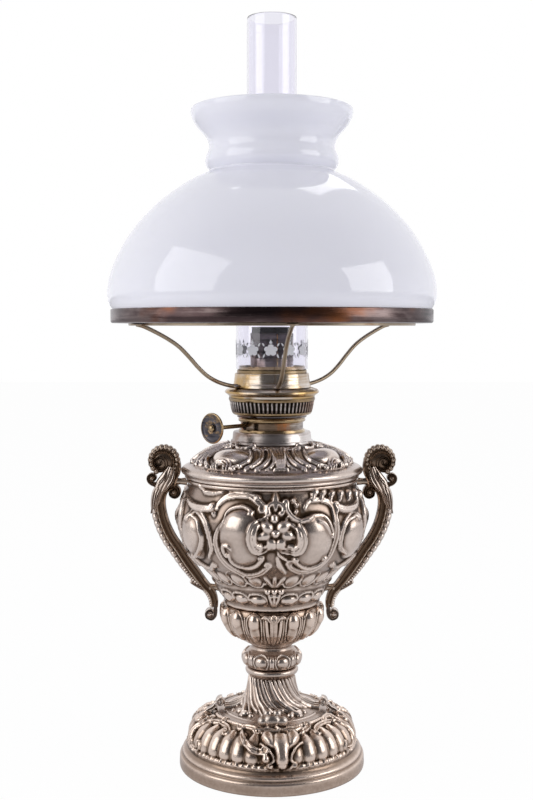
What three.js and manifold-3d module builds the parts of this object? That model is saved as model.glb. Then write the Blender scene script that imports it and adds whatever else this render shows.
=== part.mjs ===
// A table lamp for lamp oil: a silvered cast urn on a spiral stem and a gadrooned foot, a drop-in oil font,
// a round-wick burner with its winder, a glass chimney, and an opal shade on a ring with three wire legs.
// Millimetres, +Z up. The origin is the middle of the foot's underside. -Y is the front, +X the right handle.
import * as THREE from "three";
import { mergeVertices } from "three/addons/utils/BufferGeometryUtils.js";
import Module from "manifold-3d";

const wasm = await Module();
wasm.setup();

// Clearances and wall thicknesses that several pieces share
const seatGap = 0.3;
const overrun = 2;
const castWall = 3;
const sheetWall = 0.8;

// Tie rod that clamps foot, stem, knop, cup and urn
const rodRadius = 3;
const nutRadius = 5.6;
const nutThickness = 5;
const washerRadius = 8;
const washerThickness = 1.2;

// Foot and its ballast
const footRadius = 69.7;
const footHeight = 40.5;
const footLobes = 32;
const lobeSwell = 1.5;
const leafSwell = 2.6;
const ballastThickness = 6;
const ballastRecess = 8.3;

// Stem, with four arms that end in volutes
const stemRadius = 41.5;
const stemHeight = 33.2;
const stemFlutes = 12;
const fluteSwell = 0.9;
const stemTwistTurns = 0.2;
const armWidth = 7;
const armThickness = 3.4;
const voluteRadius = 4.3;

// Knop and lower cup
const knopRadius = 23.8;
const knopHeight = 18;
const knopBosses = 8;
const bossSwell = 1.1;
const cupToHandle = 5.43;
const cupHeight = 29.6;
const cupLobes = 16;
const cupSwell = 1.3;

// Urn
const urnRadius = 73.1;
const urnHeight = 94.4;
const urnFloor = 5;
const domeSwell = 2.4;
const eggSwell = 0.9;
const eggCount = 16;

// Handles, fixed by screws from inside the urn
const handleStandoff = 20.9;
const handleDepth = 8;
const handleRidge = 1.5;
const bossRadius = 3.2;
const screwRadius = 1.5;
const screwHeadRadius = 2.7;
const screwHeadThickness = 1.6;
const screwGrip = 5;

// Oil font, its cover, and the collar that the burner screws into
const fontGap = 3;
const fontWall = 1;
const fontRimHeight = 5.5;
const coverInset = 5.5;
const coverHeight = 25.3;
const coverSwell = 2.2;
const coverTurnDegrees = 5;
const collarHeight = 8.6;
const collarSpigot = 4.3;
const collarRadius = 30.6;
const threadRadius = 22.5;
const threadGap = 0.4;

// Burner
const neckHeight = 10.7;
const neckBead = 1.2;
const neckSpread = 26.1;
const wickTubeRadius = 16;
const wickTubeTop = 72.6;
const draughtTubeRadius = 12.6;
const draughtTubeLength = 31;
const basketHeight = 12.5;
const basketRadius = 32;
const basketSlots = 28;
const flangeRadius = 35;
const flangeHeight = 7.3;
const crownRadius = 25.9;
const crownRise = 13.3;
const crownLip = 2.5;

// Wick and its winder
const wickThickness = 2;
const wickWidth = 29;
const wickTail = 114;
const wickRolledLength = 48;
const wickSlitDegrees = 30;
const wickStandsProud = 4.5;
const spindleRadius = 1.5;
const spindleLength = 74;
const spindleAzimuthDegrees = 227;
const spindleDrop = 6.1;
const wheelRadius = 5;
const wheelTeeth = 12;
const wheelThickness = 1.6;
const wheelSpacing = 11;
const knobRadius = 10.65;
const knobThickness = 1.5;
const knobRim = 0.5;
const capRadius = 2.7;

// Glass chimney
const chimneyRadius = 26.6;
const chimneyHeight = 255.9;
const chimneyWall = 1.6;

// Shade holder and shade
const holderCollarRadius = 29.2;
const holderCollarHeight = 10.2;
const legRadius = 1.5;
const padRadius = 4.4;
const padThickness = 1;
const ringRadius = 118.6;
const ringHeight = 10.2;
const ringRise = 47.2;
const ringShelf = 14.6;
const ringWall = 1.2;
const shadeBelly = 2.4;
const shadeHeight = 154.9;
const shadeWall = 2.4;

const quarterTurn = Math.PI / 2;
const fullTurn = Math.PI * 2;
const degree = Math.PI / 180;

const silvered = new THREE.MeshStandardMaterial({ color: 0x9a9490, roughness: 0.34, metalness: 0.9 });
const bronzed = new THREE.MeshStandardMaterial({ color: 0x5d4f42, roughness: 0.42, metalness: 0.85 });
const brass = new THREE.MeshStandardMaterial({ color: 0xa08558, roughness: 0.3, metalness: 0.9 });
const darkCopper = new THREE.MeshStandardMaterial({ color: 0x4a3a38, roughness: 0.35, metalness: 0.85 });
const iron = new THREE.MeshStandardMaterial({ color: 0x3d3c3b, roughness: 0.7, metalness: 0.6 });
const tin = new THREE.MeshStandardMaterial({ color: 0x8d8b84, roughness: 0.45, metalness: 0.8 });
const cotton = new THREE.MeshStandardMaterial({ color: 0xb9ab90, roughness: 0.95, metalness: 0 });
const clearGlass = new THREE.MeshStandardMaterial({
  color: 0xf2f4fa,
  roughness: 0.05,
  metalness: 0,
  transparent: true,
  opacity: 0.35,
});
const opalGlass = new THREE.MeshStandardMaterial({ color: 0xdcdcf0, roughness: 0.12, metalness: 0 });

const lamp = new THREE.Group();

// Turns a closed surface into a solid whose faces point out.
function toSolid(geometry) {
  const bare = new THREE.BufferGeometry();
  bare.setAttribute("position", geometry.attributes.position.clone());
  if (geometry.index) bare.setIndex(geometry.index.clone());
  const merged = mergeVertices(bare, seatGap / 1000);
  const corners = merged.attributes.position;
  const faces = [];
  let volume = 0;
  const [a, b, c] = [new THREE.Vector3(), new THREE.Vector3(), new THREE.Vector3()];
  for (let i = 0; i < merged.index.count; i += 3) {
    const face = [merged.index.getX(i), merged.index.getX(i + 1), merged.index.getX(i + 2)];
    if (new Set(face).size === 3) {
      a.fromBufferAttribute(corners, face[0]);
      b.fromBufferAttribute(corners, face[1]);
      c.fromBufferAttribute(corners, face[2]);
      volume += a.dot(b.cross(c));
      faces.push(face);
    }
  }
  const outward = volume > 0 ? faces : faces.map(([p, q, r]) => [p, r, q]);
  return new wasm.Manifold(
    new wasm.Mesh({
      numProp: 3,
      vertProperties: new Float32Array(corners.array),
      triVerts: new Uint32Array(outward.flat()),
    }),
  );
}

// Adds a finished piece to the lamp under its own name.
function place(name, solid, material) {
  const { vertProperties, triVerts } = solid.getMesh();
  const geometry = new THREE.BufferGeometry();
  geometry.setAttribute("position", new THREE.BufferAttribute(vertProperties, 3));
  geometry.setIndex(new THREE.BufferAttribute(triVerts, 1));
  geometry.computeVertexNormals();
  const mesh = new THREE.Mesh(geometry, material);
  mesh.name = name;
  lamp.add(mesh);
}

// Outline points from shares of a radius and of a height.
function outline(shares, radius, bottom, height) {
  return shares.map(([across, up]) => new THREE.Vector2(radius * across, bottom + height * up));
}

// A solid turned round the upright axis. A swell pushes each point out by an amount set by its angle from the
// front, its height and its radius.
function turned(points, segments, swell) {
  const geometry = new THREE.LatheGeometry(points, segments);
  geometry.rotateX(quarterTurn);
  const position = geometry.attributes.position;
  for (let i = 0; swell && i < position.count; i += 1) {
    const [x, y, z] = [position.getX(i), position.getY(i), position.getZ(i)];
    const radius = Math.hypot(x, y);
    const push = radius > seatGap ? swell(Math.atan2(x, -y), z, radius) / radius : 0;
    position.setXY(i, x * (1 + push), y * (1 + push));
  }
  return toSolid(geometry);
}

// A solid disc or ring outline that starts and ends on the axis.
function onAxis(points) {
  const first = new THREE.Vector2(0, points[0].y);
  const last = new THREE.Vector2(0, points[points.length - 1].y);
  return [first, ...points, last];
}

// An upright cylinder between two heights.
function cylinder(radius, bottom, top, segments) {
  const geometry = new THREE.CylinderGeometry(radius, radius, top - bottom, segments);
  geometry.rotateX(quarterTurn);
  geometry.translate(0, 0, (top + bottom) / 2);
  return toSolid(geometry);
}

// An upright ring between two radii and two heights.
function ring(inner, outer, bottom, top, segments) {
  const section = [
    new THREE.Vector2(inner, bottom),
    new THREE.Vector2(outer, bottom),
    new THREE.Vector2(outer, top),
    new THREE.Vector2(inner, top),
    new THREE.Vector2(inner, bottom),
  ];
  return turned(section, segments);
}

// A box that is centred across and stands between two heights.
function block(width, depth, bottom, top) {
  const geometry = new THREE.BoxGeometry(width, depth, top - bottom);
  geometry.translate(0, 0, (top + bottom) / 2);
  return geometry;
}

// A skin over a row of oval rings, closed at both ends.
function lofted(stations, sides) {
  const vertices = [];
  const faces = [];
  for (const { at, across, deep } of stations) {
    for (let k = 0; k < sides; k += 1) {
      const angle = ((k + 0.5) / sides) * fullTurn;
      const point = at.clone().addScaledVector(across, Math.cos(angle)).addScaledVector(deep, Math.sin(angle));
      vertices.push(point.x, point.y, point.z);
    }
  }
  const last = (stations.length - 1) * sides;
  for (let i = 0; i < last; i += sides) {
    for (let k = 0; k < sides; k += 1) {
      const a = i + k;
      const b = i + ((k + 1) % sides);
      faces.push(a, b, b + sides, a, b + sides, a + sides);
    }
  }
  for (let k = 2; k < sides; k += 1) {
    faces.push(0, k, k - 1, last, last + k - 1, last + k);
  }
  const geometry = new THREE.BufferGeometry();
  geometry.setAttribute("position", new THREE.Float32BufferAttribute(vertices, 3));
  geometry.setIndex(faces);
  return geometry;
}

// A smooth hump that is 1 in the middle of a span and 0 outside it.
function hump(value, from, to) {
  const share = (value - from) / (to - from);
  return share > 0 && share < 1 ? Math.sin(share * Math.PI) : 0;
}

// A smooth oval dome: 1 at its middle, 0 outside its half widths.
function dome(angle, share, { atDegrees, atShare, halfDegrees, halfShare }) {
  const offset = Math.atan2(Math.sin(angle - atDegrees * degree), Math.cos(angle - atDegrees * degree));
  const across = offset / (halfDegrees * degree);
  const up = (share - atShare) / halfShare;
  return Math.sqrt(Math.max(0, 1 - across * across - up * up));
}

// Foot: rim band, corded moulding, a ring of lobes, and a leaf drop on each quarter
const rodBore = rodRadius + seatGap;
const footOutlineShares = [
  [1, 0],
  [1, 0.205],
  [0.977, 0.255],
  [0.953, 0.345],
  [0.9, 0.41],
  [0.884, 0.5],
  [0.867, 0.63],
  [0.832, 0.73],
  [0.765, 0.83],
  [0.665, 0.91],
  [0.595, 0.96],
  [0.575, 1],
];
const lobeFromShare = 0.55;
const lobeToShare = 0.985;
const leafFromShare = 0.33;
const leafHalfDegrees = 13;

function footSwell(angle, z) {
  const share = z / footHeight;
  const lobe = Math.abs(Math.sin((angle * footLobes) / 2)) * hump(share, lobeFromShare, lobeToShare);
  const leaf = [0, 90, 180, 270].reduce((sum, atDegrees) => {
    const shape = { atDegrees, atShare: 0.62, halfDegrees: leafHalfDegrees, halfShare: 0.62 - leafFromShare };
    return sum + dome(angle, share, shape);
  }, 0);
  return lobeSwell * lobe + leafSwell * leaf;
}

const ballastRadius = footRadius - 2 * castWall - seatGap;
const ballastTop = ballastRecess + ballastThickness;
const footHollowShares = [
  [1, 0],
  [0.87, 0.12],
  [0.8, 0.62],
  [0.62, 0.84],
  [0.35, 1],
];
const footHollowTop = footHeight - 1.5 * castWall;
const footBody = turned(onAxis(outline(footOutlineShares, footRadius, 0, footHeight)), 64, footSwell);
const footPocket = cylinder(ballastRadius + seatGap, -overrun, ballastTop + seatGap, 24);
const footHollow = turned(
  onAxis(outline(footHollowShares, ballastRadius - castWall, ballastTop, footHollowTop - ballastTop)),
  24,
);
const footBore = cylinder(rodBore, 0, footHeight + overrun, 8);
place("foot_casting", footBody.subtract(footPocket).subtract(footHollow).subtract(footBore), silvered);
place("ballast_plate", ring(rodBore, ballastRadius, ballastRecess, ballastTop, 24), iron);

// Stem: a flared skirt with spiral flutes, four arms that run down to volutes, and a ring at the top
const stemBottom = footHeight + seatGap;
const stemTop = stemBottom + stemHeight;
const stemOutlineShares = [
  [1, 0],
  [0.867, 0.048],
  [0.735, 0.108],
  [0.614, 0.2],
  [0.525, 0.307],
  [0.463, 0.413],
  [0.424, 0.518],
  [0.405, 0.64],
  [0.39, 0.79],
  [0.452, 0.843],
  [0.48, 0.93],
  [0.46, 1],
];
const fluteFromShare = 0.04;
const fluteToShare = 0.83;

function stemSwell(angle, z) {
  const share = (z - stemBottom) / stemHeight;
  const turn = (1 - share) * stemTwistTurns * fullTurn;
  return fluteSwell * Math.cos(stemFlutes * (angle - turn)) * hump(share, fluteFromShare, fluteToShare);
}

const armPathShares = [
  [0.385, 0.66],
  [0.43, 0.43],
  [0.55, 0.25],
  [0.73, 0.155],
  [0.9, 0.15],
];
const voluteAtShare = { across: 0.95, up: 0.147 };

// One arm in the plane that leaves the axis to the right.
function stemArm() {
  const path = new THREE.SplineCurve(outline(armPathShares, stemRadius, stemBottom, stemHeight));
  const stations = [];
  const steps = 4;
  for (let i = 0; i <= steps; i += 1) {
    const point = path.getPoint(i / steps);
    const tangent = path.getTangent(i / steps);
    stations.push({
      at: new THREE.Vector3(point.x, 0, point.y),
      across: new THREE.Vector3(-tangent.y, 0, tangent.x).multiplyScalar(armThickness / 2),
      deep: new THREE.Vector3(0, armWidth / 2, 0),
    });
  }
  const arm = toSolid(lofted(stations, 4));
  const volute = new THREE.CylinderGeometry(voluteRadius, voluteRadius, armWidth, 6);
  volute.translate(stemRadius * voluteAtShare.across, 0, stemBottom + stemHeight * voluteAtShare.up);
  return arm.add(toSolid(volute));
}

let stem = turned(onAxis(outline(stemOutlineShares, stemRadius, stemBottom, stemHeight)), 36, stemSwell);
for (let quarter = 0; quarter < 4; quarter += 1) {
  stem = stem.add(stemArm().rotate([0, 0, quarter * 90]));
}
const stackBore = (bottom, top) => cylinder(rodBore, bottom - overrun, top + overrun, 8);
place("stem_casting", stem.subtract(stackBore(stemBottom, stemTop)), silvered);

// Knop: a ring of round bosses over a waist
const knopBottom = stemTop + seatGap;
const knopTop = knopBottom + knopHeight;
const knopOutlineShares = [
  [0.78, 0],
  [0.87, 0.111],
  [0.94, 0.239],
  [0.965, 0.367],
  [0.94, 0.494],
  [0.87, 0.6],
  [0.744, 0.71],
  [0.65, 0.83],
  [0.75, 1],
];

function knopSwell(angle, z) {
  const share = (z - knopBottom) / knopHeight;
  const boss = Math.max(0, Math.cos(knopBosses * angle + Math.PI));
  return bossSwell * Math.sqrt(boss) * hump(share, 0.05, 0.68);
}

const knop = turned(onAxis(outline(knopOutlineShares, knopRadius, knopBottom, knopHeight)), 32, knopSwell);
place("knop", knop.subtract(stackBore(knopBottom, knopTop)), silvered);

// Lower cup: upright round-topped lobes, just clear of the handles' lower ends
const handleReach = urnRadius + handleStandoff;
const handleFootShare = 0.478;
const cupRadius = handleReach * handleFootShare - cupToHandle;
const cupBottom = knopTop + seatGap;
const cupTop = cupBottom + cupHeight;
const cupOutlineShares = [
  [0.456, 0],
  [0.572, 0.081],
  [0.691, 0.19],
  [0.82, 0.334],
  [0.904, 0.466],
  [0.954, 0.595],
  [0.985, 0.747],
  [0.985, 0.82],
  [0.967, 0.892],
  [0.927, 0.96],
  [0.87, 1],
];

function cupShape(growth) {
  const swell = (angle, z) => {
    const share = (z - cupBottom) / cupHeight;
    return growth + cupSwell * Math.abs(Math.cos((cupLobes * angle) / 2)) * hump(share, 0.1, 0.93);
  };
  return turned(onAxis(outline(cupOutlineShares, cupRadius, cupBottom, cupHeight)), 32, swell);
}

place("lower_cup", cupShape(0).subtract(stackBore(cupBottom, cupTop)), silvered);

// Urn: smooth ring, egg band, plain moulding, oblique bosses, eight smooth domes and the mouth
const urnBottom = cupTop + seatGap;
const urnTop = urnBottom + urnHeight;
const urnOutlineShares = [
  [0.46, 0],
  [0.478, 0.018],
  [0.496, 0.041],
  [0.531, 0.067],
  [0.564, 0.094],
  [0.592, 0.128],
  [0.616, 0.18],
  [0.624, 0.233],
  [0.698, 0.291],
  [0.769, 0.341],
  [0.85, 0.4],
  [0.908, 0.486],
  [0.952, 0.579],
  [0.978, 0.735],
  [0.945, 0.823],
  [0.892, 0.917],
  [0.87, 0.964],
  [0.885, 1],
];
const urnDomeShares = [
  { atDegrees: 23, atShare: 0.63, halfDegrees: 14, halfShare: 0.225 },
  { atDegrees: 57, atShare: 0.61, halfDegrees: 10, halfShare: 0.19 },
];
const hollowShares = [
  [0.455, 0],
  [0.545, 0.138],
  [0.575, 0.232],
  [0.62, 0.294],
  [0.8, 0.434],
  [0.832, 0.512],
  [0.832, 1],
];

function urnSwell(angle, z) {
  const share = (z - urnBottom) / urnHeight;
  const mirrored = Math.atan2(Math.abs(Math.sin(angle)), Math.abs(Math.cos(angle)));
  const domes = urnDomeShares.reduce((sum, shape) => sum + dome(mirrored, share, shape), 0);
  const eggs = Math.abs(Math.sin((eggCount * angle) / 2));
  const egg = eggs * (hump(share, 0.05, 0.17) + hump(share, 0.21, 0.34));
  return domeSwell * domes + eggSwell * egg;
}

function urnShape(growth) {
  const points = onAxis(outline(urnOutlineShares, urnRadius, urnBottom, urnHeight));
  return turned(points, 40, (angle, z) => growth + urnSwell(angle, z));
}

const hollowFloor = urnBottom + urnFloor;
const hollowPoints = outline(hollowShares, urnRadius, urnBottom, urnHeight);
hollowPoints[0].y = hollowFloor;
hollowPoints[hollowPoints.length - 1].y += overrun;
const hollowRadius = urnRadius * hollowShares[hollowShares.length - 1][0];

// Screws that hold the handles: two to each side, from inside the urn
const upperScrewAtShare = 0.967;
const lowerScrewAtShare = 0.1155;
const lowerWallShare = 0.535;
const screwHeights = [urnBottom + urnHeight * lowerScrewAtShare, urnBottom + urnHeight * upperScrewAtShare];
const screwSeats = [urnRadius * lowerWallShare, hollowRadius];

// A cylinder that leaves the axis to the right.
function sideways(radius, from, to, height, segments) {
  const geometry = new THREE.CylinderGeometry(radius, radius, to - from, segments);
  geometry.rotateZ(quarterTurn);
  geometry.translate((from + to) / 2, 0, height);
  return toSolid(geometry);
}

const screwPocket = castWall * 2;
const screwReach = castWall + screwGrip;

// The hole for one screw: a spot face for its head and a hole for its shank.
function screwHole(seat, height) {
  const face = sideways(screwHeadRadius + seatGap, seat - screwPocket, seat, height, 10);
  return face.add(sideways(screwRadius + seatGap, seat - overrun, seat + screwReach, height, 8));
}

const screwHoles = screwHole(screwSeats[0], screwHeights[0]).add(screwHole(screwSeats[1], screwHeights[1]));
const urn = urnShape(0)
  .subtract(turned(onAxis(hollowPoints), 20))
  .subtract(stackBore(urnBottom, hollowFloor))
  .subtract(screwHoles)
  .subtract(screwHoles.mirror([1, 0, 0]));
place("urn_body", urn, silvered);

// Tie rod, clamped by a nut and washer under the ballast and a nut in the urn
const rodTop = hollowFloor + seatGap + nutThickness + overrun;
const lowerNutTop = ballastRecess - washerThickness - 2 * seatGap;
const rodBottom = lowerNutTop - nutThickness;

function nut(bottom) {
  return cylinder(nutRadius, bottom, bottom + nutThickness, 6).subtract(stackBore(bottom, bottom + nutThickness));
}

place("tie_rod", cylinder(rodRadius, rodBottom, rodTop, 12), iron);
place("tie_rod_lower_nut", nut(lowerNutTop - nutThickness), iron);
const washerBottom = lowerNutTop + seatGap;
place("tie_rod_washer", ring(rodBore, washerRadius, washerBottom, washerBottom + washerThickness, 16), iron);
place("tie_rod_upper_nut", nut(hollowFloor + seatGap), iron);

// Handles: an arm that swells upwards from a ball scroll, a beaded volute on top and two small side scrolls
const handleDropShare = 0.297;
const handleBottom = cupTop - cupHeight * handleDropShare;
const handleRise = urnTop - handleBottom;
const voluteRiseShare = 0.113;
const handleVoluteRadius = handleRise * voluteRiseShare;
const handleArmShares = [
  [handleFootShare, 0.012, 0.03],
  [handleFootShare, 0.1, 0.038],
  [0.5, 0.18, 0.04],
  [0.583, 0.27, 0.042],
  [0.672, 0.365, 0.047],
  [0.77, 0.49, 0.055],
  [0.842, 0.61, 0.057],
  [0.893, 0.72, 0.058],
  [0.908, 0.82, 0.058],
  [0.885, 0.92, 0.056],
  [0.845, 1.0, 0.05],
  [0.81, 1.06, 0.045],
];
const volutePlaceShare = { across: 0.873, up: 1.135 };
const ballPlaceShare = { across: 0.486, up: 0 };
const innerScrollShare = { across: 0.778, up: 0.9 };
const outerScrollShare = { across: 0.955, up: 0.975 };
const ballRadiusShare = 0.37;
const innerScrollRadiusShare = 0.4;
const outerScrollRadiusShare = 0.31;
const armDepthShare = 0.82;
const stalkShares = [
  [0.87, 0.93],
  [0.915, 0.945],
  [0.955, 0.95],
];

const handlePoint = ({ across, up }) => new THREE.Vector3(handleReach * across, 0, handleBottom + handleRise * up);

// A round scroll end that lies in the handle's plane.
function scrollEnd(place, radius, depth, sides) {
  const centre = handlePoint(place);
  const geometry = new THREE.CylinderGeometry(radius, radius, depth, sides);
  geometry.translate(centre.x, 0, centre.z);
  return toSolid(geometry);
}

// The raised spiral on the big volute, from the arm inwards to the eye.
function spiralRidge() {
  const centre = handlePoint(volutePlaceShare);
  const turns = 1.5;
  const steps = 14;
  const stations = [];
  for (let i = 0; i <= steps; i += 1) {
    const angle = Math.PI * 1.15 - (i / steps) * turns * fullTurn;
    const radius = (handleVoluteRadius - handleRidge) * (1 - (0.78 * i) / steps);
    const outwards = new THREE.Vector3(Math.cos(angle), 0, Math.sin(angle));
    stations.push({
      at: centre.clone().addScaledVector(outwards, radius),
      across: outwards.clone().multiplyScalar(handleRidge),
      deep: new THREE.Vector3(0, handleDepth / 2, 0),
    });
  }
  return toSolid(lofted(stations, 4));
}

// A bar that follows points in the handle's plane, with half its width given at each.
function bar(points, halfWidths, depth, sides) {
  const path = new THREE.CatmullRomCurve3(points);
  const stations = points.map((at, i) => {
    const tangent = path.getTangent(i / (points.length - 1));
    return {
      at,
      across: new THREE.Vector3(tangent.z, 0, -tangent.x).multiplyScalar(halfWidths[i]),
      deep: new THREE.Vector3(0, depth / 2, 0),
    };
  });
  return toSolid(lofted(stations, sides));
}

function rightHandle() {
  const armPoints = handleArmShares.map(([across, up]) => handlePoint({ across, up }));
  const armWidths = handleArmShares.map(([, , half]) => handleReach * half);
  const stalkPoints = stalkShares.map(([across, up]) => handlePoint({ across, up }));
  let handle = bar(armPoints, armWidths, handleDepth * armDepthShare, 6);
  handle = handle.add(bar(stalkPoints, [handleRidge, handleRidge, handleRidge], handleDepth * armDepthShare, 4));
  handle = handle.add(scrollEnd(volutePlaceShare, handleVoluteRadius - handleRidge, handleDepth * 0.55, 12));
  handle = handle.add(spiralRidge());
  handle = handle.add(scrollEnd(ballPlaceShare, handleVoluteRadius * ballRadiusShare, handleDepth, 10));
  handle = handle.add(scrollEnd(innerScrollShare, handleVoluteRadius * innerScrollRadiusShare, handleDepth, 8));
  handle = handle.add(scrollEnd(outerScrollShare, handleVoluteRadius * outerScrollRadiusShare, handleDepth, 8));
  const bossEnds = [handleReach * 0.5, handleReach * 0.82];
  screwHeights.forEach((height, i) => {
    handle = handle.add(sideways(bossRadius, screwSeats[i], bossEnds[i], height, 8));
  });
  return handle.subtract(urnShape(seatGap)).subtract(cupShape(seatGap)).subtract(screwHoles);
}

const handle = rightHandle();
place("right_handle", handle, bronzed);
place("left_handle", handle.mirror([1, 0, 0]), bronzed);

const screwNames = ["lower", "upper"];
screwHeights.forEach((height, i) => {
  const headTo = screwSeats[i] - seatGap;
  const head = sideways(screwHeadRadius, headTo - screwHeadThickness, headTo, height, 10);
  const shank = sideways(screwRadius, headTo - screwHeadThickness / 2, headTo + screwReach - seatGap, height, 8);
  const screw = head.add(shank);
  place(`right_handle_${screwNames[i]}_screw`, screw, iron);
  place(`left_handle_${screwNames[i]}_screw`, screw.mirror([1, 0, 0]), iron);
});

// Oil font: a thin vessel that drops into the urn
const coverBottom = urnTop + seatGap;
const fontTop = coverBottom + fontRimHeight;
const fontRadius = hollowRadius - fontGap;
const fontBottomShare = 0.17;
const fontOutlineShares = [
  [0.56, 0],
  [0.66, 0.05],
  [0.77, 0.165],
  [0.94, 0.29],
  [1, 0.4],
  [1, 1],
];
const fontBottom = urnBottom + urnHeight * fontBottomShare;
const fontOuter = outline(fontOutlineShares, fontRadius, fontBottom, fontTop - fontBottom);
const fontInner = outline(fontOutlineShares, fontRadius - fontWall, fontBottom + fontWall, fontTop - fontBottom);
place("oil_font", turned(onAxis(fontOuter), 20).subtract(turned(onAxis(fontInner), 20)), tin);

// Font cover: a rolled flange, a dome with four pillows and four palmettes, and the burner's opening
const coverTop = coverBottom + coverHeight;
const coverRadius = urnRadius - coverInset;
const coverOutlineShares = [
  [0.964, 0],
  [0.985, 0.091],
  [1, 0.182],
  [1, 0.269],
  [0.975, 0.372],
  [0.9, 0.423],
  [0.862, 0.545],
  [0.799, 0.719],
  [0.666, 0.885],
  [0.503, 0.964],
  [0.459, 1],
];
const coverHollowShares = [
  [1, 0],
  [1, 0.3],
  [0.87, 0.58],
  [0.72, 0.76],
  [0.55, 0.84],
];

function coverSwells(angle, z) {
  const share = (z - coverBottom) / coverHeight;
  const turnedAngle = angle - coverTurnDegrees * degree;
  const pillow = Math.max(0, -Math.cos(4 * turnedAngle));
  const palmette = Math.max(0, Math.cos(4 * turnedAngle)) / 3;
  return coverSwell * (Math.sqrt(pillow) + palmette) * hump(share, 0.4, 1);
}

const spigotRadius = threadRadius + threadGap + sheetWall * 2;
const coverHollow = outline(coverHollowShares, fontRadius + seatGap, coverBottom, coverHeight);
coverHollow[0].y -= overrun;
const coverBody = turned(onAxis(outline(coverOutlineShares, coverRadius, coverBottom, coverHeight)), 32, coverSwells);
const coverBore = cylinder(spigotRadius + seatGap, coverBottom, coverTop + overrun, 20);
place("font_cover", coverBody.subtract(turned(onAxis(coverHollow), 20)).subtract(coverBore), silvered);

// Burner collar: a tapered ring with a threaded bore and a spigot in the cover
const collarBottom = coverTop + seatGap;
const collarTop = collarBottom + collarHeight;
const collarBore = threadRadius + threadGap;
const collarSection = [
  new THREE.Vector2(collarBore, collarBottom - collarSpigot),
  new THREE.Vector2(spigotRadius, collarBottom - collarSpigot),
  new THREE.Vector2(spigotRadius, collarBottom),
  new THREE.Vector2(collarRadius, collarBottom),
  new THREE.Vector2(collarRadius * 0.994, collarBottom + collarHeight * 0.2),
  new THREE.Vector2(collarRadius * 0.945, collarTop),
  new THREE.Vector2(collarBore, collarTop),
  new THREE.Vector2(collarBore, collarBottom - collarSpigot),
];
place("burner_collar", turned(collarSection, 20), silvered);

// Burner neck: a threaded cup with a bead that rests on the collar and a flared top
const neckBottom = collarBottom - collarSpigot / 2;
const beadBottom = collarTop + seatGap;
const neckTop = beadBottom + neckHeight;
const neckHollowRadius = threadRadius - 1.5 * sheetWall;
const neckSection = [
  new THREE.Vector2(threadRadius, neckBottom),
  new THREE.Vector2(threadRadius, beadBottom),
  new THREE.Vector2(spigotRadius, beadBottom),
  new THREE.Vector2(spigotRadius, beadBottom + neckBead),
  new THREE.Vector2(threadRadius * 1.01, beadBottom + neckBead),
  new THREE.Vector2(threadRadius * 1.035, neckTop - neckHeight * 0.42),
  new THREE.Vector2(threadRadius * 1.065, neckTop - neckHeight * 0.21),
  new THREE.Vector2(neckSpread, neckTop),
];
const neckHollow = [
  new THREE.Vector2(neckHollowRadius, neckBottom + sheetWall * 1.5),
  new THREE.Vector2(neckHollowRadius, neckTop - neckHeight * 0.3),
  new THREE.Vector2(neckSpread - sheetWall * 1.5, neckTop + sheetWall / 2),
];
const spindleHeight = neckTop - spindleDrop;
const spindleOffset = wheelRadius + seatGap + wickThickness / 2;
const spindleTurn = spindleAzimuthDegrees * degree;

// Moves a piece made along +X, centred on the axis, onto the spindle's line.
function ontoSpindle(solid) {
  return solid.translate([0, -spindleOffset, spindleHeight]).rotate([0, 0, spindleAzimuthDegrees]);
}

const spindleHole = ontoSpindle(sideways(spindleRadius + seatGap, -threadRadius - overrun, neckSpread * 2, 0, 10));
const wickSlot = toSolid(
  block(wickWidth + 2 * seatGap, wickThickness + 2 * seatGap, neckBottom - overrun, neckBottom + overrun * 2),
).rotate([0, 0, spindleAzimuthDegrees]);
const neck = turned(onAxis(neckSection), 20).subtract(turned(onAxis(neckHollow), 20));
place("burner_neck", neck.subtract(spindleHole).subtract(wickSlot), brass);

// Outer wick tube on its flange, with an air window on the far side of the wick
const tubeFlangeBottom = neckTop + seatGap;
const tubeFlangeTop = tubeFlangeBottom + sheetWall;
const wickTubeTopHeight = collarTop + wickTubeTop;
const wickTubeBore = wickTubeRadius - sheetWall;
const wickTubeSection = [
  new THREE.Vector2(wickTubeBore, tubeFlangeBottom),
  new THREE.Vector2(neckSpread - seatGap, tubeFlangeBottom),
  new THREE.Vector2(neckSpread - seatGap, tubeFlangeTop),
  new THREE.Vector2(wickTubeRadius, tubeFlangeTop),
  new THREE.Vector2(wickTubeRadius, wickTubeTopHeight),
  new THREE.Vector2(wickTubeBore, wickTubeTopHeight),
  new THREE.Vector2(wickTubeBore, tubeFlangeBottom),
];
const draughtBottom = wickTubeTopHeight - draughtTubeLength;
const windowBottom = tubeFlangeTop + sheetWall * 3;
const windowTop = draughtBottom - sheetWall * 3;
const airWindow = toSolid(block(wickThickness * 5, wickTubeRadius * 2, windowBottom, windowTop))
  .translate([0, -wickTubeRadius, 0])
  .rotate([0, 0, spindleAzimuthDegrees]);
place("wick_tube", turned(wickTubeSection, 20).subtract(airWindow), brass);

// Inner draught tube, held to the wick tube by a web that runs in the wick's slit
const draughtTube = ring(draughtTubeRadius - sheetWall, draughtTubeRadius, draughtBottom, wickTubeTopHeight, 16);
const webDepth = wickTubeBore - seatGap - draughtTubeRadius + sheetWall / 2;
const web = toSolid(block(sheetWall * 3, webDepth, draughtBottom, wickTubeTopHeight - wickThickness * 3))
  .translate([0, -(draughtTubeRadius - sheetWall / 2 + webDepth / 2), 0])
  .rotate([0, 0, spindleAzimuthDegrees]);
place("draught_tube", draughtTube.add(web), brass);

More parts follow.
